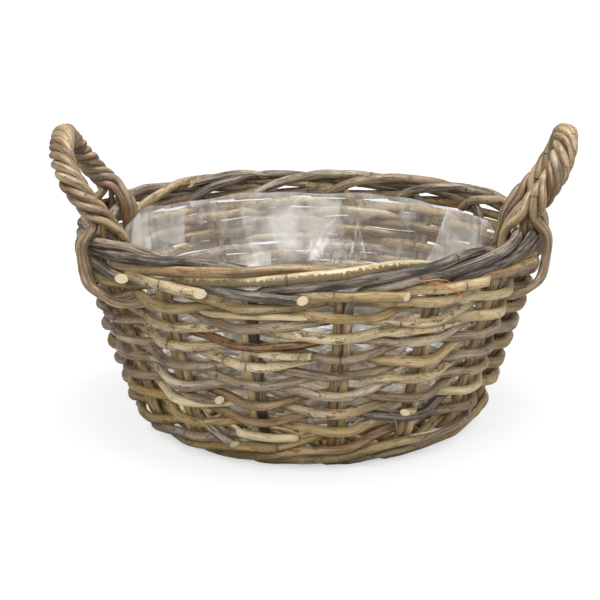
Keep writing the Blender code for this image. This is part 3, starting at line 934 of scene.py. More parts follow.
class RodBundle:
    """Rods that make up one piece of the basket."""

    def __init__(self, name: str, shelf: FinishShelf, *rods: Rod) -> None:
        """Start a bundle.

        Args:
            name: Name of the piece.
            shelf: Finishes of the basket.
            rods: The rods that it starts with.
        """
        self.name = name
        self.shelf = shelf
        self.grower = RodGrower()
        self.shells: list[tuple[RodShell, tuple[Tone, Tone, Tone]]] = []
        for rod in rods:
            self.add(rod)

    def add(self, rod: Rod) -> None:
        """Grow a rod and keep it."""
        second = rod.change[1] if rod.change else rod.tone
        self.shells.append((self.grower.grow(rod), (rod.tone, second, Tone.CUT)))

    def piece(self, nodes: tuple[str, ...], slot: str) -> bpy.types.Object:
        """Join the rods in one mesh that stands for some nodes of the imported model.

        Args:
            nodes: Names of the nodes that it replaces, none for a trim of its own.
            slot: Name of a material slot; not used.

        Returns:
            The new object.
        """
        mesh = bpy.data.meshes.new(self.name)
        tones: list[Tone] = []
        faces: list[tuple[int, ...]] = []
        indices: list[int] = []
        base = 0
        for shell, kinds in self.shells:
            tones += [tone for tone in dict.fromkeys(kinds) if tone not in tones]
            slots = [tones.index(tone) for tone in kinds]
            faces += [tuple(corner + base for corner in face) for face in shell.faces]
            indices += [slots[kind] for kind in shell.kinds]
            base += len(shell.verts)
        shells = [shell for shell, kinds in self.shells]
        mesh.from_pydata(np.concatenate([shell.verts for shell in shells]).tolist(), [], faces)
        for tone in tones:
            mesh.materials.append(self.shelf.of(tone))
        mesh.polygons.foreach_set("material_index", indices)
        mesh.polygons.foreach_set("use_smooth", [True] * len(faces))
        for key in ("place", "joint", "rim"):
            write_layer(mesh, f"rod_{key}", np.concatenate([getattr(shell, key) for shell in shells]))
        mesh.update()
        made = placed(self.name, mesh)
        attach(made, "root")
        if nodes:
            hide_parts(*nodes)
        LOG.info("%s: %d faces", self.name, len(faces))
        return made


@dataclass
class WovenWall:
    """The rows of the wall, each woven from a few spliced rods."""

    basket: Basket
    shelf: FinishShelf
    bend: float = 0.0030
    splice_overlap: float = 0.16
    splice_tuck: float = 0.0030
    tuck_start: float = 0.25
    rod_pairs: float = 2.0
    front: tuple[float, float] = (7.0, 14.0)
    wave: float = 0.10
    front_tones: dict[int, tuple[Tone, ...]] = field(default_factory=dict)

    def __post_init__(self) -> None:
        """Write down the rods of the front, row by row, from left to right."""
        tone = Tone
        self.front_tones = {
            13: (tone.MAUVE, tone.OLIVE, tone.OLIVE, tone.TAN, tone.MAUVE_PALE),
            12: (tone.TAN, tone.OLIVE, tone.HONEY, tone.STRAW),
            11: (tone.MAUVE_PALE, tone.STRAW, tone.MAUVE, tone.STRAW_SPECKLED),
            10: (tone.BROWN_GREY, tone.TAN_SPECKLED, tone.STRAW_SPECKLED, tone.STRAW),
            9: (tone.BROWN, tone.BROWN_GREY, tone.RUSSET, tone.MAUVE_PALE),
            8: (tone.MAUVE, tone.TAN_SPECKLED, tone.BROWN_GREY, tone.MAUVE),
            7: (tone.MAUVE, tone.MAUVE, tone.STRAW_SPECKLED, tone.TAN),
            6: (tone.BROWN_GREY, tone.MAUVE, tone.BROWN_GREY, tone.MAUVE),
            5: (tone.MAUVE_PALE, tone.MAUVE, tone.MAUVE, tone.STRAW_SPECKLED),
            4: (tone.BROWN, tone.MAUVE_PALE, tone.MAUVE_PALE, tone.TAN_SPECKLED),
            3: (tone.MAUVE, tone.BROWN_GREY, tone.BROWN, tone.BROWN_GREY),
            2: (tone.MAUVE, tone.STRAW, tone.TAN_SPECKLED, tone.STRAW),
            1: (tone.BROWN_GREY, tone.HONEY, tone.BROWN, tone.BARK),
            0: (tone.BROWN, tone.HONEY, tone.TAN, tone.BROWN_GREY),
        }

    def row_line(self, row: int) -> tuple[np.ndarray, np.ndarray]:
        """Middle line of one whole row.

        Args:
            row: Number of the row from the foot, from zero.

        Returns:
            Points of the line, once round and two pairs past either end, and the place of each in pairs.
        """
        basket = self.basket
        height = basket.first_row + basket.row_pitch * row
        hug = basket.pair_half + basket.stake / 2 + basket.hug_margin
        bow_hug = basket.bow_lateral + basket.bow / 2 + basket.hug_margin
        outside = basket.row_swing + basket.bend_allowance
        inside = -basket.inside_swing(height)
        corners = []
        for pair in range(-2, basket.pairs + 3):
            angle = basket.pair_angle(pair)
            beside = basket.is_bow_pair(pair)
            if (pair + row) % 2 == 0:
                offset, laterals = outside, (-bow_hug if beside else -hug, hug)
            else:
                offset, laterals = inside, (-basket.bow_lateral, 0.0) if beside else (0.0,)
            corners += [basket.wall_point(angle, height, offset, lateral) for lateral in laterals]
        line = smoothed(np.array(corners), self.bend)
        turned = np.unwrap(np.arctan2(line[:, 1], line[:, 0]))
        start = basket.pair_angle(-2)
        turned += math.tau * round((start - turned[0]) / math.tau)
        place = (turned - basket.pair_angle(0)) / basket.pair_angle_step
        return line, place

    def spans(self, row: int, rng: np.random.Generator) -> list[tuple[float, float, Tone]]:
        """Rods of a row: where each starts and ends, in pairs, and its kind.

        Args:
            row: Number of the row from the foot, from zero.
            rng: Seeded source of chance.

        Returns:
            Start, end and tone of each rod.
        """
        tone = Tone
        kinds = (tone.MAUVE, tone.BROWN_GREY, tone.TAN, tone.TAN_SPECKLED, tone.OLIVE, tone.BROWN,
                 tone.STRAW_SPECKLED, tone.MAUVE_PALE)
        pairs = self.basket.pairs
        first = self.front[0] - row % 2
        starts = [(first + self.rod_pairs * at, kind) for at, kind in enumerate(self.front_tones[row])]
        mark = starts[-1][0] + self.rod_pairs
        while mark < first + pairs - 1.0:
            starts.append((mark, kinds[int(rng.integers(len(kinds)))]))
            mark += 2.0 * float(rng.integers(1, 3))
        starts = [(start if start < pairs else start - pairs, kind) for start, kind in starts]
        starts.sort(key=lambda item: item[0])
        afters = [start for start, kind in starts[1:]] + [starts[0][0] + pairs]
        return [(start, after, kind) for (start, kind), after in zip(starts, afters)]

    def stretch(self, line: np.ndarray, place: np.ndarray, start: float, end: float) -> np.ndarray:
        """Part of a row's line between two places, its end tucked in behind the pair.

        Args:
            line: Points of the row.
            place: Place of each point, in pairs.
            start: Place where the rod starts.
            end: Place where it ends.

        Returns:
            Points of the rod.
        """
        pairs = float(self.basket.pairs)
        if end > pairs + 1.5:
            first, again = place < pairs, place >= 0.0
            place = np.concatenate((place[first], place[again] + pairs))
            line = np.concatenate((line[first], line[again]))
        keep = (place >= start - self.splice_overlap) & (place <= end + self.splice_overlap)
        part, where = line[keep].copy(), place[keep]
        near_end = (where - (end - self.tuck_start)) / (self.tuck_start + self.splice_overlap)
        tuck = np.clip(near_end, 0.0, 1.0) * self.splice_tuck
        radial = part * np.array((1.0, 1.0, 0.0))
        radial /= np.linalg.norm(radial, axis=1, keepdims=True)
        return part - radial * tuck[:, None]

    def build(self) -> list[bpy.types.Object]:
        """Weave all rows.

        Returns:
            The rows from the foot up.
        """
        made = []
        for row in range(self.basket.rows):
            rng = np.random.default_rng(100 + row)
            line, place = self.row_line(row)
            bundle = RodBundle(f"woven_row_{row + 1:02d}", self.shelf)
            for index, (start, end, tone) in enumerate(self.spans(row, rng)):
                part = self.stretch(line, place, start, end)
                hidden = start < self.front[0] or start >= self.front[1]
                rise, size = (0.0006, (1.18, 1.34)) if hidden else (0.0009, (0.94, 1.17))
                part[:, 2] += smooth_noise(rng, arc_lengths(part), self.wave) * rise
                radius = self.basket.weaver / 2 * rng.uniform(*size)
                bundle.add(Rod(part, radius, tone, 1000 + 37 * row + index, wander=0.0005))
            made.append(bundle.piece((f"weaver_row_{row + 1:02d}",), "weaver_rattan"))
        return made


@dataclass
class StakeFrame:
    """Rods that cross in the base, stand up as pairs and end in the rolled border."""

    basket: Basket
    shelf: FinishShelf
    bend_radius: float = 0.1015
    cut_reach: float = 0.0050
    back_drop: float = 0.0016
    tail_factor: float = 1.22
    bend: float = 0.0046
    border_share: float = 0.62
    strokes: dict[int, tuple[Tone, tuple[float, Tone] | None, float]] = field(default_factory=dict)
    end_tones: dict[int, Tone] = field(default_factory=dict)

    def __post_init__(self) -> None:
        """Write down each long rod by its pair: its kind, its kind in the border and its thickening."""
        tone = Tone
        self.strokes = {
            0: (tone.STRAW, (0.70, tone.BROWN_GREY), 1.18),
            1: (tone.TAN, (0.66, tone.BARK_PALE), 1.26),
            2: (tone.HONEY, (0.66, tone.BARK), 1.22),
            3: (tone.TAN, (0.66, tone.TAN_SPECKLED), 1.20),
            4: (tone.OLIVE, (0.66, tone.BARK_PALE), 1.28),
            5: (tone.TAN, (0.66, tone.BARK), 1.18),
            6: (tone.BROWN, (0.66, tone.BARK_PALE), 1.22),
            7: (tone.BROWN, (0.66, tone.BARK_PALE), 1.20),
            8: (tone.STRAW, (0.62, tone.BARK), 1.14),
            9: (tone.TAN, (0.62, tone.BROWN), 1.12),
            10: (tone.TAN, (0.66, tone.PEELING), 1.12),
            11: (tone.BARK, None, 1.16),
            12: (tone.TAN, (0.66, tone.BARK), 1.28),
            13: (tone.STRAW, (0.66, tone.BARK), 1.20),
            14: (tone.TAN, (0.66, tone.BROWN_GREY), 1.16),
            15: (tone.BROWN, (0.66, tone.BARK_PALE), 1.20),
        }
        hidden = (tone.BROWN_GREY, tone.BARK_PALE, tone.OLIVE, tone.BROWN)
        self.end_tones = {pair: hidden[pair % len(hidden)] for pair in range(self.basket.pairs)}
        self.end_tones |= {
            5: tone.BARK_PALE, 6: tone.BARK, 7: tone.TAN_SPECKLED, 8: tone.BARK, 9: tone.OLIVE, 10: tone.TAN,
        }

    def along_border(
        self, pair: int, stops: tuple[tuple[float, float, float], ...], drop: float = 0.0
    ) -> list[np.ndarray]:
        """Places in the border past a pair.

        Args:
            pair: Number of the pair.
            stops: Pairs further on, offset from the middle of the border and height of each place.
            drop: How much lower all of them lie.

        Returns:
            The places.
        """
        basket = self.basket
        centre = basket.wall_radius(basket.rim_height)
        return [
            basket.polar(basket.pair_angle(pair + on), centre + off, height - drop)
            for on, off, height in stops
        ]

    def border_route(self, pair: int) -> list[np.ndarray]:
        """Route of a long stake end through the rolled border.

        Args:
            pair: Number of its pair.

        Returns:
            Corner points of the route.
        """
        basket = self.basket
        low = basket.border_low
        pitch = basket.stake + basket.gap
        outside = low + pitch
        crest = basket.crest_height
        out = basket.border_half
        stops = (
            (0.22, out / 2, low + pitch * 2 / 3),
            (0.50, out, outside),
            (1.00, out, outside + pitch / 2),
            (1.50, out, outside + pitch),
            (2.00, out, outside + pitch * 3 / 2),
            (2.50, 0.0, crest),
            (3.00, -out, outside + pitch),
            (3.26, -out / 2, outside),
            (3.42, 0.0, low),
        )
        return self.along_border(pair, stops)

    def cut_end_route(self, pair: int) -> np.ndarray:
        """Last stretch of a border rod, which runs out below the border to its cut end.

        Args:
            pair: Number of its pair.

        Returns:
            Corner points of the stretch.
        """
        low, out = self.basket.border_low, self.basket.border_half
        stops = (
            (2.30, 0.0, low + 0.0050),
            (2.58, out * 0.95, low + 0.0030),
            (3.00, out + 0.0014, low + 0.0013),
            (3.35, out + 0.0024, low + 0.0004),
            (3.64, out + self.cut_reach, low),
        )
        drop = self.back_drop if (pair + 3) % self.basket.pairs < self.basket.pairs // 2 else 0.0
        return np.array(self.along_border(pair, stops, drop))

    def side_route(self, pair: int, side: int) -> list[np.ndarray]:
        """Route up the side from the fan of the base.

        Args:
            pair: Number of the pair.
            side: Which rod of the pair it is, -1 or 1, and the second goes on through the border.

        Returns:
            Corner points of the route.
        """
        basket = self.basket
        angle = basket.pair_angle(pair)
        lateral = side * basket.pair_half
        floor = basket.base_height
        knee = floor + basket.stake
        radius = (self.bend_radius + basket.wall_radius(knee)) / 2 + basket.stake / 2
        top = basket.border_low - basket.stake / 2
        points = [
            basket.polar(angle, basket.fan_radius, floor, lateral),
            basket.polar(angle, self.bend_radius, floor, lateral),
            basket.polar(angle, radius, floor + basket.stake / 4, lateral),
            basket.polar(angle, basket.wall_radius(knee), knee, lateral),
            basket.polar(angle, basket.wall_radius(top), top, lateral),
        ]
        if side > 0:
            points += self.border_route(pair)
        return points

    def route(self, arm: int, double: int, side: int) -> tuple[int, np.ndarray]:
        """Whole route of one rod.

        Args:
            arm: Which of the two crossed layers it lies in.
            double: Its double in that layer.
            side: Which rod of the double it is.

        Returns:
            The pair in which its long end stands, and its corner points, short end first.
        """
        basket = self.basket
        arms = basket.pairs // 4
        drop = basket.stake / 2 + basket.gap / 2
        axis = basket.pair_angle(arm * arms + (arms - 1) / 2)
        height = basket.base_height + (drop if arm else -drop)
        near = arm * arms + double
        far = near + basket.pairs // 2 + arms - 1 - 2 * double
        place = double - (arms - 1) / 2
        lateral = place * basket.double_pitch + side * basket.pair_half
        reach = basket.slath_radius - side * basket.pair_half * math.tan(basket.fan_bend(place) / 2)
        middle = [basket.polar(axis, end * reach, height, lateral) for end in (-1, 1)]
        corners = self.side_route(far, -side)[::-1] + middle + self.side_route(near, side)
        if side > 0:
            return near % basket.pairs, np.array(corners)
        return far % basket.pairs, np.array(corners[::-1])

    def build(self) -> list[bpy.types.Object]:
        """Lay, turn up and border all rods.

        Returns:
            The stake rods.
        """
        made = []
        doubles = range(self.basket.pairs // 4)
        for arm, double, side in itertools.product(range(2), doubles, (-1, 1)):
            pair, corners = self.route(arm, double, side)
            tone, change, factor = self.strokes[pair]
            radius = self.basket.stake / 2
            stake = Rod(
                smoothed(corners, self.bend), radius, tone, 2000 + pair, wander=0.00025, joint_every=0.12,
                slim=0.02, change=change, thicken=(self.border_share, factor),
            )
            tail = Rod(
                smoothed(self.cut_end_route(pair), self.bend), radius * min(factor, self.tail_factor),
                self.end_tones[pair], 2100 + pair, tail=EndShape.CUT, joint_every=0.12, slim=0.02, slant=-1.0,
            )
            bundle = RodBundle(f"border_stake_{pair + 1:02d}", self.shelf, stake, tail)
            made.append(bundle.piece((f"stake_rod_{pair + 1:02d}",), "stake_rattan"))
        return made


@dataclass
class WovenBase:
    """Binding and weavers of the base."""

    basket: Basket
    shelf: FinishShelf
    binding: float = 0.0040
    binding_rounds: int = 2
    binding_bend: float = 0.0018
    weaver: float = 0.0046
    weaver_bend: float = 0.0020
    start_radius: float = 0.0600
    pitch: float = 0.0059
    turns: int = 3

    def binding_line(self) -> np.ndarray:
        """Line of the binding, over one arm and under the next.

        Returns:
            Points of the line.
        """
        basket = self.basket
        arms = basket.pairs // 4
        outer = (arms - 1) / 2
        bend = basket.fan_bend(outer)
        edge = outer * basket.double_pitch + basket.pair_half
        room = (basket.stake / 2 + self.binding / 2 + basket.gap) / math.cos(bend)
        swing = basket.stake + self.binding / 2 + 2 * basket.gap
        points = []
        for quarter in range(self.binding_rounds * 4):
            axis = basket.pair_angle(quarter * arms + outer)
            spread = self.binding * (1 + quarter / 4)
            half = edge + spread * math.tan(bend) + room
            height = basket.base_height + (swing if quarter % 2 else -swing)
            radius = basket.slath_radius + spread
            points += [basket.polar(axis, radius, height, sign * half) for sign in (-1, 1)]
        return smoothed(np.array(points), self.binding_bend)

    def weave_line(self, start: int, turn: int) -> np.ndarray:
        """Line of one turn of a base weaver.

        Args:
            start: Which of the two weavers it is.
            turn: Its turn, from the middle out.

        Returns:
            Points of the line.
        """
        basket = self.basket
        swing = basket.stake / 2 + self.weaver / 2 + basket.gap
        hug = basket.pair_half + self.weaver / 2
        first = turn * basket.pairs
        points = []
        for step in range(first - 1, first + basket.pairs + 1):
            radius = self.start_radius + self.pitch * (2 * step / basket.pairs + start)
            height = basket.base_height + (swing if (step + start) % 2 else -swing)
            points += [basket.polar(basket.pair_angle(step), radius, height, side * hug) for side in (-1, 1)]
        ends = [(points[1] + points[2]) / 2, (points[-3] + points[-2]) / 2]
        return smoothed(np.array([ends[0], *points[2:-2], ends[1]]), self.weaver_bend)

    def build(self) -> list[bpy.types.Object]:
        """Bind and weave the base.

        Returns:
            The binding and the weavers.
        """
        rod = Rod(self.binding_line(), self.binding / 2, Tone.TAN, 3000, wander=0.0002)
        made = [RodBundle("base_binding_rod", self.shelf, rod).piece(("base_binding",), "base_rattan")]
        kinds = (Tone.STRAW_SPECKLED, Tone.TAN, Tone.OLIVE, Tone.TAN_SPECKLED, Tone.MAUVE_PALE, Tone.STRAW)
        for number, kind in enumerate(kinds, 1):
            line = self.weave_line(*divmod(number - 1, self.turns))
            rod = Rod(line, self.weaver / 2, kind, 3100 + number, wander=0.0002)
            bundle = RodBundle(f"base_weave_{number}", self.shelf, rod)
            made.append(bundle.piece((f"base_weaver_{number}",), "base_rattan"))
        return made


@dataclass
class FootWale:
    """The four rods that are waled round the foot, on which the basket stands."""

    basket: Basket
    shelf: FinishShelf
    rods: int = 4
    rod: float = 0.0062
    rise: float = 0.0078
    flat_depth: float = 0.0005
    tuck: float = 0.0080
    hug_share: float = 0.13
    bend: float = 0.0034
    end_gap: float = 0.002
    tones: tuple[Tone, ...] = (Tone.HONEY, Tone.BROWN, Tone.OLIVE, Tone.MAUVE)

    def stops(self) -> tuple[tuple[float, float, float], ...]:
        """Places of one rod over four pairs.

        Returns:
            Share of a pair, radius and height of each place.
        """
        basket = self.basket
        radius = self.rod / 2
        low = radius * math.cos(math.pi / 6) - self.flat_depth
        middle = low + self.rise
        high = middle + self.rise
        top = high + basket.stake
        hold = (basket.stake / 2 + radius + basket.gap) / math.cos(basket.lean)
        under = basket.wall_radius(0.0) - self.tuck
        inner = basket.wall_radius(top) - hold
        beside = basket.wall_radius(middle) + radius + basket.bend_allowance
        outer = basket.wall_radius(high) + hold
        share = self.hug_share
        return (
            (share, inner, top),
            (0.5, inner - self.rod, (top + low) / 2),
            (1.0 - share, under, low),
            (1.0 + share, under, low),
            (1.5, (under + beside) / 2 + basket.gap, (low + middle) / 2),
            (2.0, beside, middle),
            (3.0 - share, outer, high),
            (3.0 + share, outer, high),
            (4.0 - share, inner, top),
        )

    def build(self) -> list[bpy.types.Object]:
        """Wale the foot and press it flat on the ground.

        Returns:
            The waling rods.
        """
        basket = self.basket
        stops = self.stops()
        end = stops[0][1:]
        made = []
        for number in range(self.rods):
            start = basket.pair_angle(number)
            corners = [basket.polar(start, *end)]
            for turn in range(basket.pairs // self.rods):
                for share, radius, height in stops:
                    angle = basket.pair_angle(number + turn * self.rods + share)
                    corners.append(basket.polar(angle, radius, height))
            corners.append(basket.polar(start - self.end_gap, *end))
            line = smoothed(np.array(corners), self.bend)
            rod = Rod(line, self.rod / 2, self.tones[number], 3300 + number, joint_every=0.10)
            bundle = RodBundle(f"foot_waling_{number + 1}", self.shelf, rod)
            piece = bundle.piece((f"foot_wale_{number + 1}",), "wale_rattan")
            for vertex in piece.data.vertices:
                vertex.co.z = max(vertex.co.z, 0.0)
            made.append(piece)
        return made


@dataclass
class RopedHandle:
    """A bow pushed down beside two stake pairs, with rods twisted round it."""

    basket: Basket
    shelf: FinishShelf
    side: Side
    middle: float
    span: int
    turns: int
    apex_height: float
    apex_radius: float
    bulge_rise: float
    flare_power: float
    bow_tip: float = 0.0560
    bow_stand: float = 0.1540
    bow_bend: float = 0.0030
    strands: int = 5
    strand: float = 0.0056
    strand_points: int = 61
    strand_tip: float = 0.1120
    strand_bend: float = 0.0040
    strand_swell: float = 1.02
    look: float = 0.04
    tones: tuple[Tone, ...] = (
        Tone.HANDLE, Tone.HANDLE_PALE, Tone.BROWN_GREY, Tone.HANDLE_WORN, Tone.HANDLE_PALE,
    )

    def arch(self, steps: int) -> np.ndarray:
        """Arch of the handle above the border, at +X.

        Args:
            steps: Number of steps along it.

        Returns:
            Points of the arch.
        """
        basket = self.basket
        radius = math.hypot(basket.rim_radius, basket.bow_lateral)
        foot = basket.polar(basket.pair_angle_step * self.span / 2, radius, self.bow_stand)
        widest = foot[2] + self.bulge_rise
        start = -math.asin(self.bulge_rise / (self.apex_height - widest))
        turn = start + (math.pi - 2 * start) * np.arange(steps + 1) / steps
        height = widest + (self.apex_height - widest) * np.sin(turn)
        rise = np.maximum((height - foot[2]) / (self.apex_height - foot[2]), 0.0)
        flare = 1.0 - (1.0 - rise) ** self.flare_power
        across = -foot[1] * np.cos(turn) / math.cos(start)
        return np.stack((foot[0] + (self.apex_radius - foot[0]) * flare, across, height), axis=1)

    def leg(self, pair: float) -> list[np.ndarray]:
        """End of the bow beside a pair, from its tip up through the border.

        Args:
            pair: Place of the pair.

        Returns:
            Corner points of the leg.
        """
        basket = self.basket
        angle, lateral = basket.pair_angle(pair), -basket.bow_lateral
        heights = (self.bow_tip, basket.rim_height)
        return [basket.polar(angle, basket.wall_radius(height), height, lateral) for height in heights]

    def foot(self, end: int, turns: float) -> list[np.ndarray]:
        """Lower end of a strand, spread past the border outside or inside the wall.

        Args:
            end: Which foot of the handle it is, -1 or 1.
            turns: Turns of the strand round the bow there, which say on which side it comes down.

        Returns:
            Corner points from the top down.
        """
        basket = self.basket
        angle = end * basket.pair_angle_step * self.span / 2
        phase = math.tau * turns
        outside = 1 if math.cos(phase) > 0 else -1
        radius = self.strand / 2
        border_reach = basket.border_half + basket.stake / 2 + radius + 2 * basket.gap
        lateral = end * math.sin(phase) * (self.strand + basket.hug_margin + basket.bend_allowance)
        middle = (basket.crest_height + basket.border_low) / 2
        past = basket.rim_radius + outside * border_reach
        if outside < 0:
            swing = basket.inside_swing(self.strand_tip)
            reach = swing + basket.weaver / 2 + radius + basket.hug_margin + 3 * basket.gap
            return [
                basket.polar(angle, past, basket.crest_height, lateral),
                basket.polar(angle, past, middle, lateral),
                basket.wall_point(angle, self.strand_tip, -reach, lateral),
            ]
        reach = basket.row_swing + basket.weaver / 2 + radius + basket.hug_margin
        bulge = self.strand * 0.45
        sweep = end * (1.0 if lateral * end > 0 else 0.8)
        tail = [
            basket.polar(angle, past + bulge / 2, basket.crest_height, lateral),
            basket.polar(angle, past + bulge, middle, lateral),
            basket.wall_point(angle + sweep * 0.05, self.strand_tip + 0.0045, reach + bulge, lateral),
        ]
        for turn, drop, stand in ((0.15, -0.001, 0.9), (0.26, -0.002, 0.55), (0.36, 0.0005, -0.6)):
            place = angle + sweep * turn
            tail.append(basket.wall_point(place, self.strand_tip + drop, reach * stand, lateral))
        return tail

    def strand_route(self, number: int) -> np.ndarray:
        """Route of one strand, twisted round the arch.

        Args:
            number: Which strand it is.

        Returns:
            Corner points of the strand.
        """
        basket = self.basket
        arch = self.arch(60)
        total = arc_lengths(arch)[-1]
        start = (number + 0.5) / self.strands
        winding = basket.bow / 2 + self.strand / 2 + 4 * basket.gap
        shares = np.arange(self.strand_points) / (self.strand_points - 1)
        centre = points_at(arch, shares * total)
        ahead = points_at(arch, np.minimum(shares + self.look, 1.0) * total)
        behind = points_at(arch, np.maximum(shares - self.look, 0.0) * total)
        along = ahead - behind
        along /= np.linalg.norm(along, axis=1, keepdims=True)
        outward = np.array((1.0, 0.0, 0.0)) - along * along[:, :1]
        outward /= np.linalg.norm(outward, axis=1, keepdims=True)
        across = np.cross(outward, along)
        phase = math.tau * (start + self.turns * shares)
        points = centre + winding * (outward * np.cos(phase)[:, None] + across * np.sin(phase)[:, None])
        return np.array([*self.foot(-1, start)[::-1], *points, *self.foot(1, start + self.turns)])

    def turned(self, points: np.ndarray) -> np.ndarray:
        """Turn points round Z to the side of this handle.

        Args:
            points: Points of a handle at +X.

        Returns:
            The turned points.
        """
        turn = self.basket.pair_angle_step * self.middle
        cos, sin = math.cos(turn), math.sin(turn)
        return points @ np.array(((cos, sin, 0.0), (-sin, cos, 0.0), (0.0, 0.0, 1.0)))

    def build(self) -> list[bpy.types.Object]:
        """Build the bow and its strands.

        Returns:
            The bow and the strands.
        """
        half = self.span / 2
        seed = 4000 if self.side is Side.RIGHT else 4500
        side = self.side.value
        route = np.array([*self.leg(-half), *self.arch(36), *self.leg(half)[::-1]])
        line = smoothed(self.turned(route), self.bow_bend)
        rod = Rod(line, self.basket.bow / 2, Tone.BROWN, seed, wander=0.0001)
        bundle = RodBundle(f"{side}_bow", self.shelf, rod)
        made = [bundle.piece((f"{side}_handle_bow",), "handle_rattan")]
        for number in range(self.strands):
            rod = Rod(
                smoothed(self.turned(self.strand_route(number)), self.strand_bend),
                self.strand / 2 * self.strand_swell, self.tones[number], seed + 1 + number,
                EndShape.CUT, EndShape.CUT, wander=0.0003, joint_every=0.09, slim=0.04,
            )
            bundle = RodBundle(f"{side}_strand_{number + 1}", self.shelf, rod)
            made.append(bundle.piece((f"{side}_handle_wrap_{number + 1}",), "handle_rattan"))
        return made


@dataclass(frozen=True)
class Trim:
    """A loose end: its thickness, kind and two ends, and its stops as place in pairs, radius and height."""

    thickness: float
    tone: Tone
    head: EndShape
    tail: EndShape
    stops: tuple[tuple[float, float, float], ...]


@dataclass
class LooseEnds:
    """Small trims of the weave: spliced tips, splinters and a few loose fibres.

    A thin one bends in a shorter curve than a thick one, and bends holds both lengths.
    """

    basket: Basket
    shelf: FinishShelf
    thin: float = 0.002
    bends: tuple[float, float] = (0.0012, 0.0030)
    point_step: float = 0.0008
    slant: float = 0.9

    def trims(self) -> dict[str, tuple[Trim, ...]]:
        """Write down all trims.

        Returns:
            The trims of each piece, by its name.
        """
        cut, tucked, tip = EndShape.CUT, EndShape.TUCKED, EndShape.TIP
        return {
            "loose_fibres": (
                Trim(0.0009, Tone.FIBRE, tip, tip, (
                    (12.65, 0.1625, 0.1360), (12.80, 0.1640, 0.1345), (12.95, 0.1630, 0.1310),
                    (13.15, 0.1620, 0.1245), (13.30, 0.1590, 0.1160))),
                Trim(0.0008, Tone.FIBRE, tip, tip, (
                    (12.70, 0.1625, 0.1340), (12.85, 0.1645, 0.1350),
                    (13.00, 0.1640, 0.1330), (13.15, 0.1625, 0.1275))),
                Trim(0.0007, Tone.FIBRE, tip, tip, (
                    (12.70, 0.1620, 0.1350), (12.85, 0.1640, 0.1310),
                    (12.95, 0.1635, 0.1320), (13.10, 0.1630, 0.1300))),
                Trim(0.0008, Tone.FIBRE, tip, tip, (
                    (11.95, 0.1640, 0.1440), (12.00, 0.1670, 0.1415), (12.05, 0.1670, 0.1380))),
                Trim(0.0008, Tone.FIBRE, tip, tip, (
                    (12.00, 0.1640, 0.1440), (12.05, 0.1670, 0.1405), (12.00, 0.1665, 0.1370))),
            ),
            "spliced_tips": (
                Trim(0.0056, Tone.BROWN_GREY, tucked, cut, (
                    (9.90, 0.1290, 0.0480), (10.10, 0.1345, 0.0485),
                    (10.35, 0.1350, 0.0490), (10.60, 0.1350, 0.0500))),
                Trim(0.0050, Tone.STRAW_SPECKLED, tucked, cut, (
                    (10.90, 0.1400, 0.0870), (11.15, 0.1460, 0.0865),
                    (11.45, 0.1465, 0.0860), (11.70, 0.1450, 0.0860))),
                Trim(0.0040, Tone.STRAW, tip, tip, (
                    (10.30, 0.1435, 0.1105), (10.60, 0.1510, 0.1110), (11.00, 0.1530, 0.1120),
                    (11.40, 0.1520, 0.1130), (11.90, 0.1470, 0.1110))),
                Trim(0.0046, Tone.STRAW_SPECKLED, tip, tip, (
                    (12.20, 0.1440, 0.0990), (12.60, 0.1500, 0.1000),
                    (13.00, 0.1510, 0.0990), (13.50, 0.1450, 0.0975))),
            ),
            "foot_sticks": (
                Trim(0.0060, Tone.BARK_PALE, tucked, cut, (
                    (10.00, 0.1205, 0.0330), (10.30, 0.1290, 0.0275),
                    (10.55, 0.1300, 0.0220), (10.75, 0.1290, 0.0185))),
                Trim(0.0056, Tone.STRAW, cut, tucked, (
                    (10.70, 0.1305, 0.0285), (10.90, 0.1310, 0.0275),
                    (11.20, 0.1290, 0.0260), (11.50, 0.1240, 0.0250))),
                Trim(0.0052, Tone.BARK, tip, tip, (
                    (12.70, 0.1290, 0.0420), (12.75, 0.1330, 0.0345), (12.75, 0.1320, 0.0280))),
                Trim(0.0048, Tone.STRAW_SPECKLED, cut, tucked, (
                    (12.80, 0.1350, 0.0410), (12.95, 0.1340, 0.0405), (13.05, 0.1270, 0.0400))),
                Trim(0.0020, Tone.STRAW, tip, tip, (
                    (13.00, 0.1270, 0.0215), (13.40, 0.1280, 0.0200), (13.60, 0.1260, 0.0195))),
            ),
            "back_rim_stub": (
                Trim(0.0066, Tone.BARK_PALE, cut, tucked, (
                    (5.40, 0.1500, 0.1395), (5.05, 0.1490, 0.1425),
                    (4.60, 0.1500, 0.1445), (4.20, 0.1520, 0.1410))),
            ),
        }

    def build(self) -> list[bpy.types.Object]:
        """Grow every trim.

        Returns:
            The trims.
        """
        made = []
        for number, (name, rods) in enumerate(self.trims().items()):
            bundle = RodBundle(name, self.shelf)
            for index, trim in enumerate(rods):
                corners = [
                    self.basket.polar(self.basket.pair_angle(at), radius, height)
                    for at, radius, height in trim.stops
                ]
                line = smoothed(np.array(corners), self.bends[trim.thickness > self.thin], self.point_step)
                bundle.add(Rod(
                    line, trim.thickness / 2, trim.tone, 5000 + 20 * number + index, trim.head, trim.tail,
                    wander=0.0003, joint_every=0.08, slim=0.02,
                    slant=-self.slant if trim.tail is EndShape.CUT else self.slant,
                ))
            made.append(bundle.piece((), "weaver_rattan"))
        return made


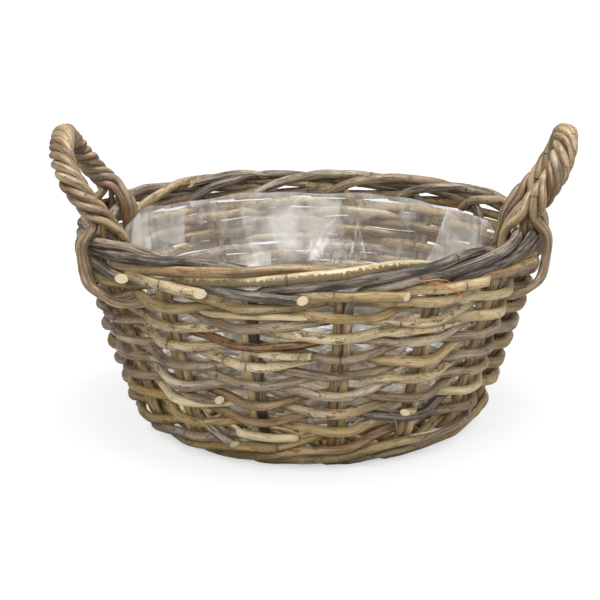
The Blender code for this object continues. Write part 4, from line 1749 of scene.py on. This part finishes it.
@dataclass
class FilmLiner:
    """Bowl of thin clear film, gathered in crumples inside the wall.

    A pane is its share of milk and its corners, counterclockwise as seen from the axis, and the first is
    the flap that is turned over. A crease is its strength, its width and its stops. Corners and stops are
    an angle in degrees and a height. A line is its strength, its half width, the angles of its two ends and
    their heights: the first is a reddish line along the folded corner, the second a painted reddish glint
    along the hem. A cloud is its share of milk, its angle and half width in degrees, its height and how far
    it reaches up and down.
    """

    basket: Basket
    top: float = 0.1325
    floor: float = 0.0240
    around: int = 420
    levels: int = 90
    floor_rings: int = 14
    seed: int = 77
    layers: int = 11
    room: float = 0.0012
    neck_height: float = 0.112
    neck_room: float = 0.0170
    fold_depth: float = 0.0115
    flap_depth: float = 0.0035
    corner_radius: float = 0.010
    floor_lift: float = 0.0013
    metre_per_degree: float = 0.0023
    pane_edge: float = 0.0024
    hem_height: float = 0.1265
    tab_angle: float = 154.0
    tab_width: float = 0.16
    tab_rise: float = 0.0030
    hem_crease: float = 0.55
    panes: tuple[tuple[float, tuple[tuple[float, float], ...]], ...] = (
        (0.50, ((6, 0.134), (30, 0.134), (40, 0.086), (37, 0.084), (6, 0.105))),
        (0.90, ((152, 0.134), (163, 0.134), (170, 0.115), (158, 0.096), (153, 0.108))),
        (0.60, ((132, 0.126), (147, 0.130), (148, 0.110), (135, 0.099))),
        (0.40, ((88, 0.126), (111, 0.124), (106, 0.078), (88, 0.078))),
        (0.62, ((73, 0.124), (86, 0.126), (86, 0.078), (81, 0.080))),
        (0.42, ((50, 0.127), (58, 0.131), (76, 0.116), (70, 0.107))),
    )
    creases: tuple[tuple[float, float, tuple[tuple[float, float], ...]], ...] = (
        (0.80, 0.0015, ((76, 0.111), (80, 0.103), (82, 0.093), (84, 0.081))),
        (0.55, 0.0015, ((75, 0.099), (79, 0.099), (80, 0.089), (81, 0.079))),
        (0.40, 0.0035, ((86, 0.129), (86, 0.094), (87, 0.081))),
        (0.40, 0.0040, ((58, 0.129), (64, 0.120), (71, 0.118), (79, 0.112))),
        (1.00, 0.0012, ((68, 0.109), (69, 0.094), (70, 0.083))),
        (1.00, 0.0012, ((68, 0.109), (66, 0.094), (64, 0.083))),
        (0.45, 0.0013, ((152, 0.132), (151, 0.122), (147, 0.100))),
        (0.35, 0.0015, ((132, 0.126), (134, 0.110), (135, 0.101))),
        (0.35, 0.0020, ((122, 0.130), (116, 0.105), (112, 0.081))),
        (0.50, 0.0016, ((137, 0.114), (141, 0.103), (134, 0.094))),
    )
    fold_lines_and_glints: tuple[tuple[float, float, tuple[float, float], tuple[float, float]], ...] = (
        (0.75, 0.0011, (6.0, 28.0), (0.121, 0.1295)),
        # Painted reddish glint along part of the hem.
        (0.70, 0.0010, (107.0, 123.0), (0.129, 0.130)),
    )
    clouds: tuple[tuple[float, float, float, float, float], ...] = (
        (0.55, 150.0, 17.0, 0.118, 0.018),
        (0.75, 94.0, 13.0, 0.104, 0.022),
        (0.40, 120.0, 7.0, 0.118, 0.010),
        (0.60, 78.0, 7.0, 0.108, 0.018),
    )

    def folds(self, angle: np.ndarray, height: np.ndarray) -> np.ndarray:
        """Depth of the crumples at places of the wall of the bowl.

        Args:
            angle: Angles round Z.
            height: Heights over the ground.

        Returns:
            How far each place stands in, from 0 to about 1.
        """
        rng = np.random.default_rng(self.seed)
        depth = np.zeros_like(angle)
        share = (height - self.floor) / (self.top - self.floor)
        for _ in range(self.layers):
            waves = int(rng.integers(5, 26))
            slant = rng.uniform(-10.0, 10.0)
            phase = rng.uniform(0.0, math.tau)
            wave = waves * angle + slant * share + phase
            wave = wave + 0.9 * np.sin(rng.integers(2, 7) * angle + 3.0 * share + rng.uniform(0.0, math.tau))
            sharp = np.abs(np.mod(wave / math.tau, 1.0) * 2.0 - 1.0)
            fade = 0.5 + 0.5 * np.sin(rng.integers(1, 5) * angle + rng.uniform(0.0, math.tau))
            depth += sharp * fade * 6.0 / (waves + 4.0)
        return depth / depth.max()

    def wall_grid(self, angle: np.ndarray) -> np.ndarray:
        """Points of the film along the wall.

        Args:
            angle: Angles of one ring.

        Returns:
            Rings of points from the floor up to the hem.
        """
        basket = self.basket
        around, share = np.meshgrid(angle, np.linspace(0.0, 1.0, self.levels))
        top = self.top + 0.0016 * np.sin(5 * angle + 1.0) * np.sin(3 * angle) + 0.0005 * np.sin(17 * angle)
        away = (angle - math.radians(self.tab_angle)) / self.tab_width
        top = top + self.tab_rise * np.exp(-(away ** 2))
        height = self.floor + (top[None, :] - self.floor) * share
        inner = basket.inside_swing(basket.first_row) + basket.weaver / 2 + self.room
        wall = np.array([basket.wall_radius(h) for h in height.ravel()]).reshape(height.shape) - inner
        radius = np.minimum(wall, basket.wall_radius(self.neck_height) - self.neck_room)
        fold = self.folds(around, height)
        ease = 0.30 + 0.70 * np.sin(math.pi * np.clip(share, 0.0, 1.0) ** 0.8)
        flap = self.pane(self.panes[0][1], around, height)
        radius = radius - self.fold_depth * fold * ease - 0.001 - self.flap_depth * flap
        corner = np.clip(1.0 - (height - self.floor) / self.corner_radius, 0.0, 1.0)
        radius = radius - self.corner_radius * corner ** 2
        return np.stack((radius * np.cos(around), radius * np.sin(around), height), axis=2)

    def floor_grid(self, angle: np.ndarray, edge: np.ndarray) -> np.ndarray:
        """Points of the film over the base.

        Args:
            angle: Angles of one ring.
            edge: Radius of the lowest ring of the wall.

        Returns:
            Rings of points from the middle out.
        """
        rng = np.random.default_rng(self.seed + 1)
        rings = []
        for ring in range(1, self.floor_rings + 1):
            inward = 1.0 - ring / (self.floor_rings + 1)
            bumps = 0.0012 * np.sin(rng.integers(4, 19) * angle + rng.uniform(0.0, math.tau)) * inward
            lift = self.floor + self.floor_lift + np.abs(bumps)
            rings.append(np.stack((edge * inward * np.cos(angle), edge * inward * np.sin(angle), lift), 1))
        return np.stack(rings)[::-1]

    def build(self) -> bpy.types.Object:
        """Gather the film in the basket.

        Returns:
            The liner.
        """
        angle = np.linspace(0.0, math.tau, self.around, endpoint=False)
        wall = self.wall_grid(angle)
        grid = np.concatenate((self.floor_grid(angle, np.hypot(wall[0, :, 0], wall[0, :, 1])), wall))
        middle = (0.0, 0.0, self.floor + self.floor_lift)
        verts = np.concatenate((grid.reshape(-1, 3), np.array((middle,))))
        faces = []
        for low in range(0, (grid.shape[0] - 1) * self.around, self.around):
            high = low + self.around
            for place in range(self.around):
                after = (place + 1) % self.around
                faces.append((low + place, high + place, high + after, low + after))
        centre = len(verts) - 1
        faces += [(centre, place, (place + 1) % self.around) for place in range(self.around)]
        mesh = bpy.data.meshes.new("clear_film_liner")
        mesh.from_pydata(verts.tolist(), [], faces)
        mesh.polygons.foreach_set("use_smooth", [True] * len(faces))
        self.mark(mesh, grid, verts)
        mesh.materials.append(FilmFinish().material())
        made = placed("clear_film_liner", mesh)
        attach(made, "root")
        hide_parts("film_liner")
        return made

    def pane(
        self, corners: tuple[tuple[float, float], ...], angle: np.ndarray, height: np.ndarray
    ) -> np.ndarray:
        """Share of a folded pane of film at places of the bowl.

        Args:
            corners: Corners of the pane, counterclockwise as seen from the axis, in degrees and height.
            angle: Angles round Z.
            height: Heights over the ground.

        Returns:
            One inside the pane and zero outside it.
        """
        spot = np.stack((np.degrees(np.mod(angle, math.tau)) * self.metre_per_degree, height), axis=-1)
        share = np.ones_like(angle)
        loop = [np.array((place * self.metre_per_degree, level)) for place, level in corners]
        for first, second in zip(loop, loop[1:] + loop[:1]):
            run = second - first
            away = run[0] * (spot[..., 1] - first[1]) - run[1] * (spot[..., 0] - first[0])
            share = share * np.clip(0.5 - away / np.linalg.norm(run) / self.pane_edge, 0.0, 1.0)
        return share

    def fold_line_and_glint(self, angle: np.ndarray, height: np.ndarray) -> np.ndarray:
        """Thin reddish line along the folded corner, and a painted reddish glint along the hem.

        Args:
            angle: Angles round Z.
            height: Heights over the ground.

        Returns:
            Strength of the seam at each place.
        """
        degrees = np.degrees(np.mod(angle, math.tau))
        total = np.zeros_like(angle)
        for strength, width, ends, levels in self.fold_lines_and_glints:
            away = np.abs(height - np.interp(degrees, ends, levels))
            inside = (degrees > ends[0]) & (degrees < ends[1])
            total = np.maximum(total, np.clip(1.0 - away / width, 0.0, 1.0) * inside * strength)
        return total

    def milky(self, angle: np.ndarray, height: np.ndarray) -> np.ndarray:
        """Milky clouds at the left and the back.

        Args:
            angle: Angles round Z.
            height: Heights over the ground.

        Returns:
            Share of milk at each place.
        """
        degrees = np.degrees(angle)
        total = np.zeros_like(angle)
        for share, middle, width, level, tall in self.clouds:
            away = ((degrees - middle) / width) ** 2 + ((height - level) / tall) ** 2
            total = np.maximum(total, share * np.exp(-away))
        return total

    def drawn_creases(self, angle: np.ndarray, height: np.ndarray) -> np.ndarray:
        """White creases that stand out at the back and the left.

        Args:
            angle: Angles round Z.
            height: Heights over the ground.

        Returns:
            Strength of the crease at each place.
        """
        degrees = np.degrees(angle)
        total = np.zeros_like(angle)
        for strength, width, route in self.creases:
            for (first, low), (second, high) in zip(route, route[1:]):
                run = np.array(((second - first) * self.metre_per_degree, high - low))
                spot = np.stack(((degrees - first) * self.metre_per_degree, height - low), axis=-1)
                share = np.clip(spot @ run / run.dot(run), 0.0, 1.0)
                away = np.linalg.norm(spot - share[..., None] * run, axis=-1)
                total = np.maximum(total, strength * np.exp(-(away / width) ** 2))
        return total

    def mark(self, mesh: bpy.types.Mesh, grid: np.ndarray, verts: np.ndarray) -> None:
        """Write down where the film is creased, milky, lined along its fold or painted with a glint, and
        where it is painted with shade, for its finish.

        Args:
            mesh: Mesh of the liner.
            grid: Its points, ring by ring.
            verts: All its points.
        """
        reach = np.linalg.norm(grid[..., :2], axis=2)
        curve = np.abs(np.roll(reach, 1, axis=1) + np.roll(reach, -1, axis=1) - 2 * reach)
        turned = np.mod(np.arctan2(grid[..., 1], grid[..., 0]), math.tau)
        height = grid[..., 2]
        # Painted light and shade: creases whiten fully on the upper back of the film and fade towards its
        # shaded bottom and front.
        seen = np.clip((height - 0.070) / 0.030, 0.0, 1.0) * np.clip((grid[..., 1] + 0.07) / 0.05, 0.15, 1.0)
        patch = 0.5 + 0.5 * np.sin(3.0 * turned + 70.0 * height) * np.sin(5.0 * turned - 40.0 * height + 1.0)
        crease = np.clip(curve / 0.0006, 0.0, 1.0) * seen * patch
        crease = np.maximum(crease, self.drawn_creases(turned, height))
        crease[-1] = self.hem_crease
        milk = self.milky(turned, height)
        for share, corners in self.panes:
            milk = np.maximum(milk, share * self.pane(corners, turned, height))
        milk = np.maximum(milk, 0.45 * np.clip((height - self.hem_height) / 0.003, 0.0, 1.0))
        # Painted shade: the film darkens towards the front, where it lies in the shade of the front wall.
        shade = 0.9 * np.clip((-grid[..., 1] - 0.020) / 0.040, 0.0, 1.0)
        layers = {"crease": crease, "milk": milk, "fold_line_and_glint": self.fold_line_and_glint(turned, height), "shade": shade}
        for name, values in layers.items():
            write_layer(mesh, f"film_{name}", np.append(values, 0.0))
        write_layer(mesh, "film_place", verts)


@dataclass
class Studio:
    """Pale floor, soft lamps and the camera.

    The floor glows to the camera. Each of its two glows is a near and a far distance from the middle and
    its strength at both. The first dims the glow round the basket as a painted soft shadow, and the second
    dims it under the basket as a painted shadow.
    """

    camera_place: tuple[float, float, float] = (-0.0065, -1.0, 0.364)
    camera_pitch: float = 74.19
    camera_turn: float = -4.4
    lens: float = 88.5
    floor_half: float = 30.0
    world_strength: float = 0.42
    white: tuple[float, float, float] = (1.0, 1.0, 1.0)
    bounce: tuple[float, float, float] = (0.48, 0.48, 0.48)
    seen: tuple[float, float, float] = (0.20, 0.20, 0.20)
    # Painted shadow on the floor: a glow that grows from near the basket outward, and a deeper fade under the
    # basket.
    glow_with_painted_soft_shadow: tuple[float, float, float, float] = (0.14, 0.75, 0.80, 0.91)
    glow_with_painted_shadow_under: tuple[float, float, float, float] = (0.085, 0.125, 0.25, 1.0)
    aim: tuple[float, float, float] = (0.0, 0.0, 0.10)

    def floor(self) -> None:
        """Lay the floor: plain white to the camera, with the real soft shadow of the basket and a painted
        shadow round and under it.
        """
        mesh = bpy.data.meshes.new("studio_floor")
        half = self.floor_half
        corners = [(-half, -half, 0.0), (half, -half, 0.0), (half, half, 0.0), (-half, half, 0.0)]
        mesh.from_pydata(corners, [], [(0, 1, 2, 3)])
        graph = NodeGraph("pale_studio_floor")
        rays = graph.node("ShaderNodeLightPath").outputs
        bounce = graph.filled(graph.node("ShaderNodeBsdfDiffuse"), {"Color": (*self.bounce, 1.0)})
        seen = graph.filled(graph.node("ShaderNodeBsdfDiffuse"), {"Color": (*self.seen, 1.0)})
        spot = graph.node("ShaderNodeNewGeometry").outputs["Position"]
        length = graph.filled(graph.node("ShaderNodeVectorMath", operation="LENGTH"), {0: spot})
        away = length.outputs["Value"]
        # Painted shadow: the glow is dimmed round the basket, and more under it.
        painted_soft_shadow_share, under = graph.ramp(away, *self.glow_with_painted_soft_shadow), graph.ramp(away, *self.glow_with_painted_shadow_under)
        glow = graph.filled(
            graph.node("ShaderNodeEmission"),
            {"Color": (*self.white, 1.0), "Strength": graph.math("MULTIPLY", painted_soft_shadow_share, under)},
        )
        both = graph.filled(graph.node("ShaderNodeAddShader"), {0: seen.outputs[0], 1: glow.outputs[0]})
        straight = graph.math("MAXIMUM", rays["Is Camera Ray"], rays["Is Transmission Ray"])
        choice = {0: straight, 1: bounce.outputs[0], 2: both.outputs[0]}
        mesh.materials.append(graph.finish_with(graph.filled(graph.node("ShaderNodeMixShader"), choice)))
        placed("studio_floor", mesh)

    def lamp(self, name: str, place: tuple[float, float, float], size: float, power: float) -> None:
        """Hang a square soft lamp that faces the basket.

        Args:
            name: Name of the lamp.
            place: Where it hangs.
            size: Length of its side.
            power: Its power in watts.
        """
        light = bpy.data.lights.new(name, "AREA")
        light.shape = "SQUARE"
        light.size = size
        light.energy = power
        made = placed(name, light)
        made.location = place
        made.rotation_mode = "QUATERNION"
        made.rotation_quaternion = (Vector(self.aim) - Vector(place)).to_track_quat("-Z", "Y")

    def room(self) -> bpy.types.World:
        """Pale room round the basket: white to the camera, dimmer to everything else.

        Returns:
            The world.
        """
        world = bpy.data.worlds.new("soft_room")
        world.use_nodes = True
        tree = world.node_tree
        background = tree.nodes["Background"]
        background.inputs["Color"].default_value = (*self.white, 1.0)
        level = tree.nodes.new("ShaderNodeMath")
        level.operation = "MULTIPLY_ADD"
        level.inputs[1].default_value = 1.0 - self.world_strength
        level.inputs[2].default_value = self.world_strength
        tree.links.new(tree.nodes.new("ShaderNodeLightPath").outputs["Is Camera Ray"], level.inputs[0])
        tree.links.new(level.outputs[0], background.inputs["Strength"])
        return world

    def camera(self) -> bpy.types.Object:
        """Stand the camera where the photo was taken from.

        Returns:
            The camera.
        """
        data = bpy.data.cameras.new("camera")
        data.lens = self.lens
        camera = placed("camera", data)
        turn = math.radians(self.camera_turn)
        camera.location = Matrix.Rotation(turn, 3, "Z") @ Vector(self.camera_place)
        camera.rotation_euler = (math.radians(self.camera_pitch), 0.0, turn)
        return camera

    def build(self) -> None:
        """Set floor, light and camera."""
        self.floor()
        scene = bpy.context.scene
        scene.world = self.room()
        self.lamp("top_softbox", (0.05, -0.15, 1.60), 1.0, 30.0)
        self.lamp("front_softbox", (-0.60, -1.40, 0.95), 0.8, 13.0)
        self.lamp("side_softbox", (1.20, -0.60, 0.80), 0.8, 5.0)
        scene.view_settings.view_transform = "Standard"
        scene.camera = self.camera()


def main() -> None:
    """Build the studio and every piece of the planter."""
    logging.basicConfig(level=logging.INFO, format="%(message)s")
    Studio().build()
    shelf = FinishShelf()
    basket = Basket()
    pieces = WovenWall(basket, shelf).build()
    pieces += StakeFrame(basket, shelf).build()
    pieces += WovenBase(basket, shelf).build()
    pieces += FootWale(basket, shelf).build()
    pieces += RopedHandle(
        basket, shelf, Side.RIGHT, middle=-0.5, span=1, turns=3,
        apex_height=0.2010, apex_radius=0.1720, bulge_rise=0.0100, flare_power=1.7,
    ).build()
    pieces += RopedHandle(
        basket, shelf, Side.LEFT, middle=8.0, span=2, turns=4,
        apex_height=0.1985, apex_radius=0.1665, bulge_rise=0.0040, flare_power=1.6,
    ).build()
    pieces += LooseEnds(basket, shelf).build()
    pieces.append(FilmLiner(basket).build())
    LOG.info("%d pieces built", len(pieces))


if __name__ == "__main__":
    main()
